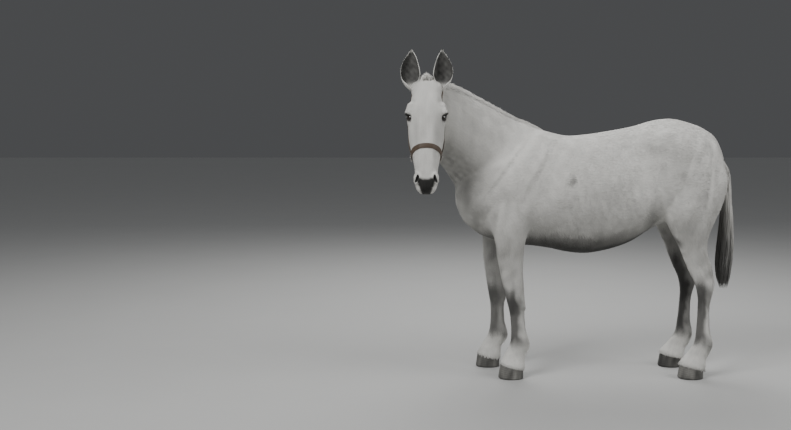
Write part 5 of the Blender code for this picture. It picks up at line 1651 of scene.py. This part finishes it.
def makeHoof(name):
    # rings from the sole to the coronet, round at the toe and narrower at the heels, each point
    # at a share of the height of the slanting top; growth rings are small waves of that share
    rows, side, stagger, pivot = legs["each"][name]
    z, front, back, aside, _ = legs[rows][-2]
    middle = (front + back) / 2 - float(leanAt(np.array(z), stagger, pivot))
    slope = (legs["toeHeight"] - legs["heelHeight"]) / (back - front)
    height = (legs["toeHeight"] + legs["heelHeight"]) / 2
    share = np.linspace(0, 1, hoof["rows"])[:, None]
    angle = np.linspace(0, 2 * math.pi, hoof["columns"], endpoint=False)[None]
    bevel = 0.004 * (1 - eased(0.0, 0.07, share)) + 0.006 * eased(0.93, 1.0, share)
    wave = hoof["ringHeight"] * np.sin(share * hoof["rings"] * 2 * math.pi + 0.6 * np.cos(angle))
    wave = wave * eased(0.06, 0.2, share) * (1 - eased(0.80, 0.95, share)) * (0.5 + 0.5 * np.cos(angle))
    quarter = 1 - 0.03 * bell(np.abs(np.sin(angle)) - 0.8, 0.2) * (np.cos(angle) < 0)
    reach = hoof["toe"] + hoof["toeFlare"] * (1 - share) - bevel + wave
    half = hoof["half"] + hoof["halfFlare"] * (1 - share) - bevel + wave
    heel = np.where(np.cos(angle) < 0, hoof["heel"], 1.0)
    x = middle - 0.006 * (1 - share) - reach * heel * np.cos(angle)
    y = side * aside + half * quarter * np.sign(np.sin(angle)) * np.abs(np.sin(angle)) ** 0.85
    z = share * (height - hoof["gap"] - slope * (x - middle))
    cleft = bell(np.cos(angle) + 1.0, 0.05) * bell(np.sin(angle), 0.16) * (1 - share)
    x = x - 0.010 * cleft
    shape = outward(gridShape(np.stack([x, y, z], axis=-1)))
    made = makeObject("hoof_" + name + "_horn", shape, hornMaterial)
    points = pointsOf(made.data)
    tall = points[:, 2] / (height - slope * (points[:, 0] - middle))
    bands = np.sin(tall * hoof["rings"] * 2 * math.pi) * eased(0.1, 0.2, tall)
    tone = hoof["shades"][name] * (1 + 0.10 * bands)
    tone *= 1 + 0.35 * cloud(points * (1, 1, 0.35), 0.045, 17)
    tone = tone * (1 - 0.5 * bell(tall, 0.12)) + 0.16 * bell(tall - 1.0, 0.06)
    writeTone(made.data, tone, 0.05)
    return finishPiece(made, "hoof_horn", "hoof_" + name)


# Eyes

eye = {"cornea": 0.0006, "pupil": (0.0075, 0.0042), "iris": (0.0165, 0.0150)}


def makeEye(side, name):
    # rings round the eye's own axis: the ball, with a slightly raised cornea in front
    along, rise, out = eyeAxes(side)
    polar = np.linspace(0.02, math.pi - 0.05, 34)[:, None]
    angle = np.linspace(0, 2 * math.pi, 40, endpoint=False)[None]
    radius = head["eyeRadius"] + eye["cornea"] * bell(polar, 0.55) + 0 * angle
    ring = np.sin(polar)
    ball = np.stack([ring * np.cos(angle), ring * np.sin(angle), np.cos(polar) + 0 * angle], axis=-1)
    grid = (ball * radius[..., None]) @ np.stack([along, rise, out]) + eyeCentre(side)
    made = makeObject("eye_" + name + "_ball", outward(gridShape(grid)), eyeMaterial)
    points = pointsOf(made.data) - eyeCentre(side)
    a, u, o = dot(points, along), dot(points, rise), dot(points, out)
    pupil = 1 - eased(0.8, 1.1, np.hypot(a / eye["pupil"][0], u / eye["pupil"][1]))
    iris = 1 - eased(0.85, 1.1, np.hypot(a / eye["iris"][0], u / eye["iris"][1]))
    brown = np.stack([0.010 + 0.008 * iris, 0.007 + 0.004 * iris, 0.005 + 0.001 * iris], axis=1)
    brown = np.where((o > 0)[:, None], brown, 0.03) * (1 - 0.92 * pupil)[:, None]
    setAttribute(made.data, "tone", "FLOAT_COLOR", np.hstack([brown, np.ones((len(brown), 1))]))
    return finishPiece(made, "eye", "eye_" + name)


# Head collar

collar = {"noseWidth": 0.028, "crownWidth": 0.024, "thickness": 0.0036, "lift": 0.0020,
          "crownReach": 158, "ringRadius": 0.017, "ringWire": 0.0032,
          "ringAngles": {"left": 100, "right": -100, "chin": 180},
          "stitch": 0.0062, "threadWidth": 0.0011}


def resampled(rows, count, cyclic):
    # even steps along a polyline whose points are the first three columns
    if cyclic:
        rows = np.vstack([rows, rows[:1]])
    distance = distanceAlong(rows[:, :3])
    at = np.linspace(0, distance[-1], count + 1 if cyclic else count)
    made = np.stack([np.interp(at, distance, column) for column in rows.T], axis=1)
    return made[:-1] if cyclic else made


def averaged(rows, cyclic):
    # each row is half itself and a quarter of each neighbour
    moved = rows * 0.5 + (np.roll(rows, 1, axis=0) + np.roll(rows, -1, axis=0)) * 0.25
    if not cyclic:
        moved[0], moved[-1] = rows[0], rows[-1]
    return moved


def slackened(points, cyclic, rounds):
    # a strap bridges dips: averaged only where that takes it further out
    centre = points.mean(axis=0)
    for _ in range(rounds):
        moved = averaged(points, cyclic)
        further = np.linalg.norm(moved - centre, axis=1) > np.linalg.norm(points - centre, axis=1)
        points = np.where(further[:, None], moved, points)
    return points


def struck(tree, start, way):
    # where a ray first meets the skin, and the skin's normal there
    hit, normal, _, _ = tree.ray_cast(Vector(start), Vector(way))
    return np.array(hit), np.array(normal)


def nosebandHit(tree, angle):
    # from outside, at an angle round the nose, toward its middle
    centre = onHead(0.447 - 0.044 * math.cos(angle), 0, -0.09)
    way = outOfFace * math.cos(angle) + leftward * math.sin(angle)
    return struck(tree, centre + way * 0.3, -way)


def crownHit(tree, angle):
    # the same in the headpiece's plane, where 0 is on top of the head
    crownWay = unit(-downFace - outOfFace * 0.06)
    way = crownWay * math.cos(angle) + leftward * math.sin(angle)
    return struck(tree, onHead(0.25, 0, -0.118) + way * 0.5, -way)


def strapFrame(rows, cyclic):
    # a strap's path, its heading, its outer side at right angles to that, and the way across it
    points, outs = rows[:, :3], rows[:, 3:]
    if cyclic:
        heading = unit(np.roll(points, -1, axis=0) - np.roll(points, 1, axis=0))
    else:
        heading = unit(np.gradient(points, axis=0))
    outs = flattened(outs, heading)
    return points, heading, outs, np.cross(heading, outs)


def strapShape(rows, width, cyclic):
    # a rounded flat profile carried along the path, its width across the path and the skin's
    # normal its height
    points, _, outs, across = strapFrame(rows, cyclic)
    angle = np.linspace(0, 2 * math.pi, 28, endpoint=False)
    wide = np.sign(np.cos(angle)) * np.abs(np.cos(angle)) ** 0.35 * width / 2
    tall = np.sign(np.sin(angle)) * np.abs(np.sin(angle)) ** 0.45 * collar["thickness"] / 2
    tall = tall - 0.0004 * bell(np.abs(wide) - width * 0.36, 0.0012) * (tall > 0)
    grid = (
        points[:, None] + across[:, None] * wide[None, :, None]
        + outs[:, None] * (tall + collar["lift"])[None, :, None]
    )
    return ringShape(grid) if cyclic else outward(gridShape(grid))


def stitchShapes(rows, width):
    # small raised threads along both edges of a strap
    pitch = collar["stitch"]
    length = distanceAlong(rows[:, :3])[-1]
    dense = resampled(rows, max(int(length / pitch), 4), False)
    points, heading, outs, across = strapFrame(dense, False)
    base = points + outs * (collar["lift"] + collar["thickness"] / 2 - 0.0002)
    long, thread = np.full(len(points), pitch * 0.62), np.full(len(points), collar["threadWidth"])
    bend = np.full(len(points), 0.25)
    made = []
    for side in (-1, 1):
        roots = base + across * side * width * 0.36 - heading * pitch * 0.3
        made.append(tuftShape(roots, outs, heading, long, thread, bend, 0.0, bend))
    return made


def torusShape(centre, out, radius, wire, columns=44, rows=14):
    # a circle of circles round the way out
    first = unit(np.cross(out, (0.3, 0.5, 0.8)))
    second = np.cross(out, first)
    a = np.linspace(0, 2 * math.pi, columns, endpoint=False)[:, None, None]
    b = np.linspace(0, 2 * math.pi, rows, endpoint=False)[None, :, None]
    way = first * np.cos(a) + second * np.sin(a)
    return ringShape(centre + way * (radius + wire * np.cos(b)) + out * wire * np.sin(b))


def makeCollar(skinObject):
    tree = treeOf(skinObject.data)
    around = np.linspace(0, 2 * math.pi, 120, endpoint=False)
    over = np.radians(np.linspace(-collar["crownReach"], collar["crownReach"], 220))
    nose = np.array([np.concatenate(nosebandHit(tree, angle)) for angle in around])
    crown = np.array([np.concatenate(crownHit(tree, angle)) for angle in over])
    for name, rows, count, cyclic, width in (
        ("noseband", nose, 150, True, collar["noseWidth"]),
        ("headpiece", crown, 240, False, collar["crownWidth"]),
    ):
        rows = resampled(rows, count, cyclic)
        outs = rows[:, 3:]
        for _ in range(6):
            outs = averaged(outs, cyclic)
        points = slackened(rows[:, :3], cyclic, 30)
        if name == "headpiece":
            points = points + unit(outs) * (0.0034 * bell(np.linspace(-1, 1, count), 0.95))[:, None]
        rows = np.hstack([points, unit(outs)])
        shapes = [strapShape(rows, width, cyclic)] + stitchShapes(rows, width)
        piece = makeObject("collar_" + name, merged(shapes), leatherMaterial)
        finishPiece(piece, "strap_leather", "halter_" + name)
    for place, angle in collar["ringAngles"].items():
        hit, normal = nosebandHit(tree, math.radians(angle))
        centre = hit + normal * (collar["thickness"] + collar["ringWire"] + 0.0030)
        ring = torusShape(centre, normal, collar["ringRadius"], collar["ringWire"])
        piece = makeObject("collar_ring_" + place, ring, steelMaterial)
        finishPiece(piece, "ring_steel", "halter_ring_" + place)


# Camera, floor and lights

view = {
    "camera": (-0.375, -6.0, 1.64), "pitch": 6.04, "lens": 43.69,
    "floorSize": 60.0, "sky": (0.80, 0.82, 0.85), "skyStrength": 0.22, "backdropShare": 0.42,
    # place, aim, size and power of each soft light
    "lights": [
        ((-3.0, -3.6, 5.6), (0.5, 0.0, 1.1), 2.6, 300.0), ((4.6, -1.6, 4.6), (0.9, 0.0, 1.2), 3.0, 150.0),
        ((0.6, 3.2, 4.8), (0.8, 0.0, 1.3), 3.5, 190.0),
    ],
}


def makeStage():
    # the camera, the floor, the sky and the soft lights
    place = toFrame + np.array(view["camera"])
    camera = bpy.data.cameras.new("camera")
    camera.lens = view["lens"]
    camera.sensor_width = 36.0
    seen = bpy.data.objects.new("camera", camera)
    bpy.context.scene.collection.objects.link(seen)
    seen.location = place
    seen.rotation_euler = (math.radians(90 - view["pitch"]), 0, 0)
    bpy.context.scene.camera = seen

    half = view["floorSize"] / 2
    steps = np.linspace(-half, half, 9)
    x, y = np.meshgrid(steps, steps, indexing="xy")
    points = np.stack([x.ravel(), y.ravel(), 0 * x.ravel()], axis=1)
    floor = makeObject("floor", (points, [gridFaces(9, 9, False)]), floorMaterial)

    world = bpy.data.worlds.new("soft sky")
    bpy.context.scene.world = world
    world.use_nodes = True
    # the sky is darker where it's seen than where it lights, so that the pale coat stands out
    backdrop = world.node_tree.nodes["Background"]
    backdrop.inputs["Color"].default_value = (*view["sky"], 1.0)
    seenRay = world.node_tree.nodes.new("ShaderNodeLightPath")
    strength = world.node_tree.nodes.new("ShaderNodeMapRange")
    strength.inputs["To Min"].default_value = view["skyStrength"]
    strength.inputs["To Max"].default_value = view["skyStrength"] * view["backdropShare"]
    world.node_tree.links.new(seenRay.outputs["Is Camera Ray"], strength.inputs["Value"])
    world.node_tree.links.new(strength.outputs["Result"], backdrop.inputs["Strength"])
    for i, (spot, aim, size, power) in enumerate(view["lights"]):
        light = bpy.data.lights.new("softLight" + str(i), "AREA")
        light.size = size
        light.energy = power
        lamp = bpy.data.objects.new("softLight" + str(i), light)
        bpy.context.scene.collection.objects.link(lamp)
        lamp.location = Vector(toFrame + np.array(spot))
        lamp.rotation_euler = (Vector(aim) - Vector(spot)).to_track_quat("-Z", "Y").to_euler()


def build():
    makeStage()
    print("stage set")
    skinObject = makeSkin()
    points, normals = pointsOf(skinObject.data), normalsOf(skinObject.data)
    writeTone(skinObject.data, coatTone(points, normals))
    setAttribute(skinObject.data, "grainPlace", "FLOAT_VECTOR", grainPlace(points))
    skinObject.data.materials.clear()
    skinObject.data.materials.append(skinMaterial)
    skinObject.data.polygons.foreach_set("material_index", np.zeros(len(skinObject.data.polygons), np.int32))
    print("skin made", len(skinObject.data.polygons))
    growCoat(skinObject)
    print("coat grown")
    makeCollar(skinObject)
    makeMane()
    makeTail()
    print("collar, mane and tail made")
    for name in legs["each"]:
        makeHoof(name)
    makeEye(1, "left")
    makeEye(-1, "right")
    flesh = ["torso", "neck", "head", "ear_left", "ear_right"]
    finishPiece(skinObject, "pale_coat", *flesh, *("leg_" + name for name in legs["each"]))
    print("hooves and eyes made")


build()
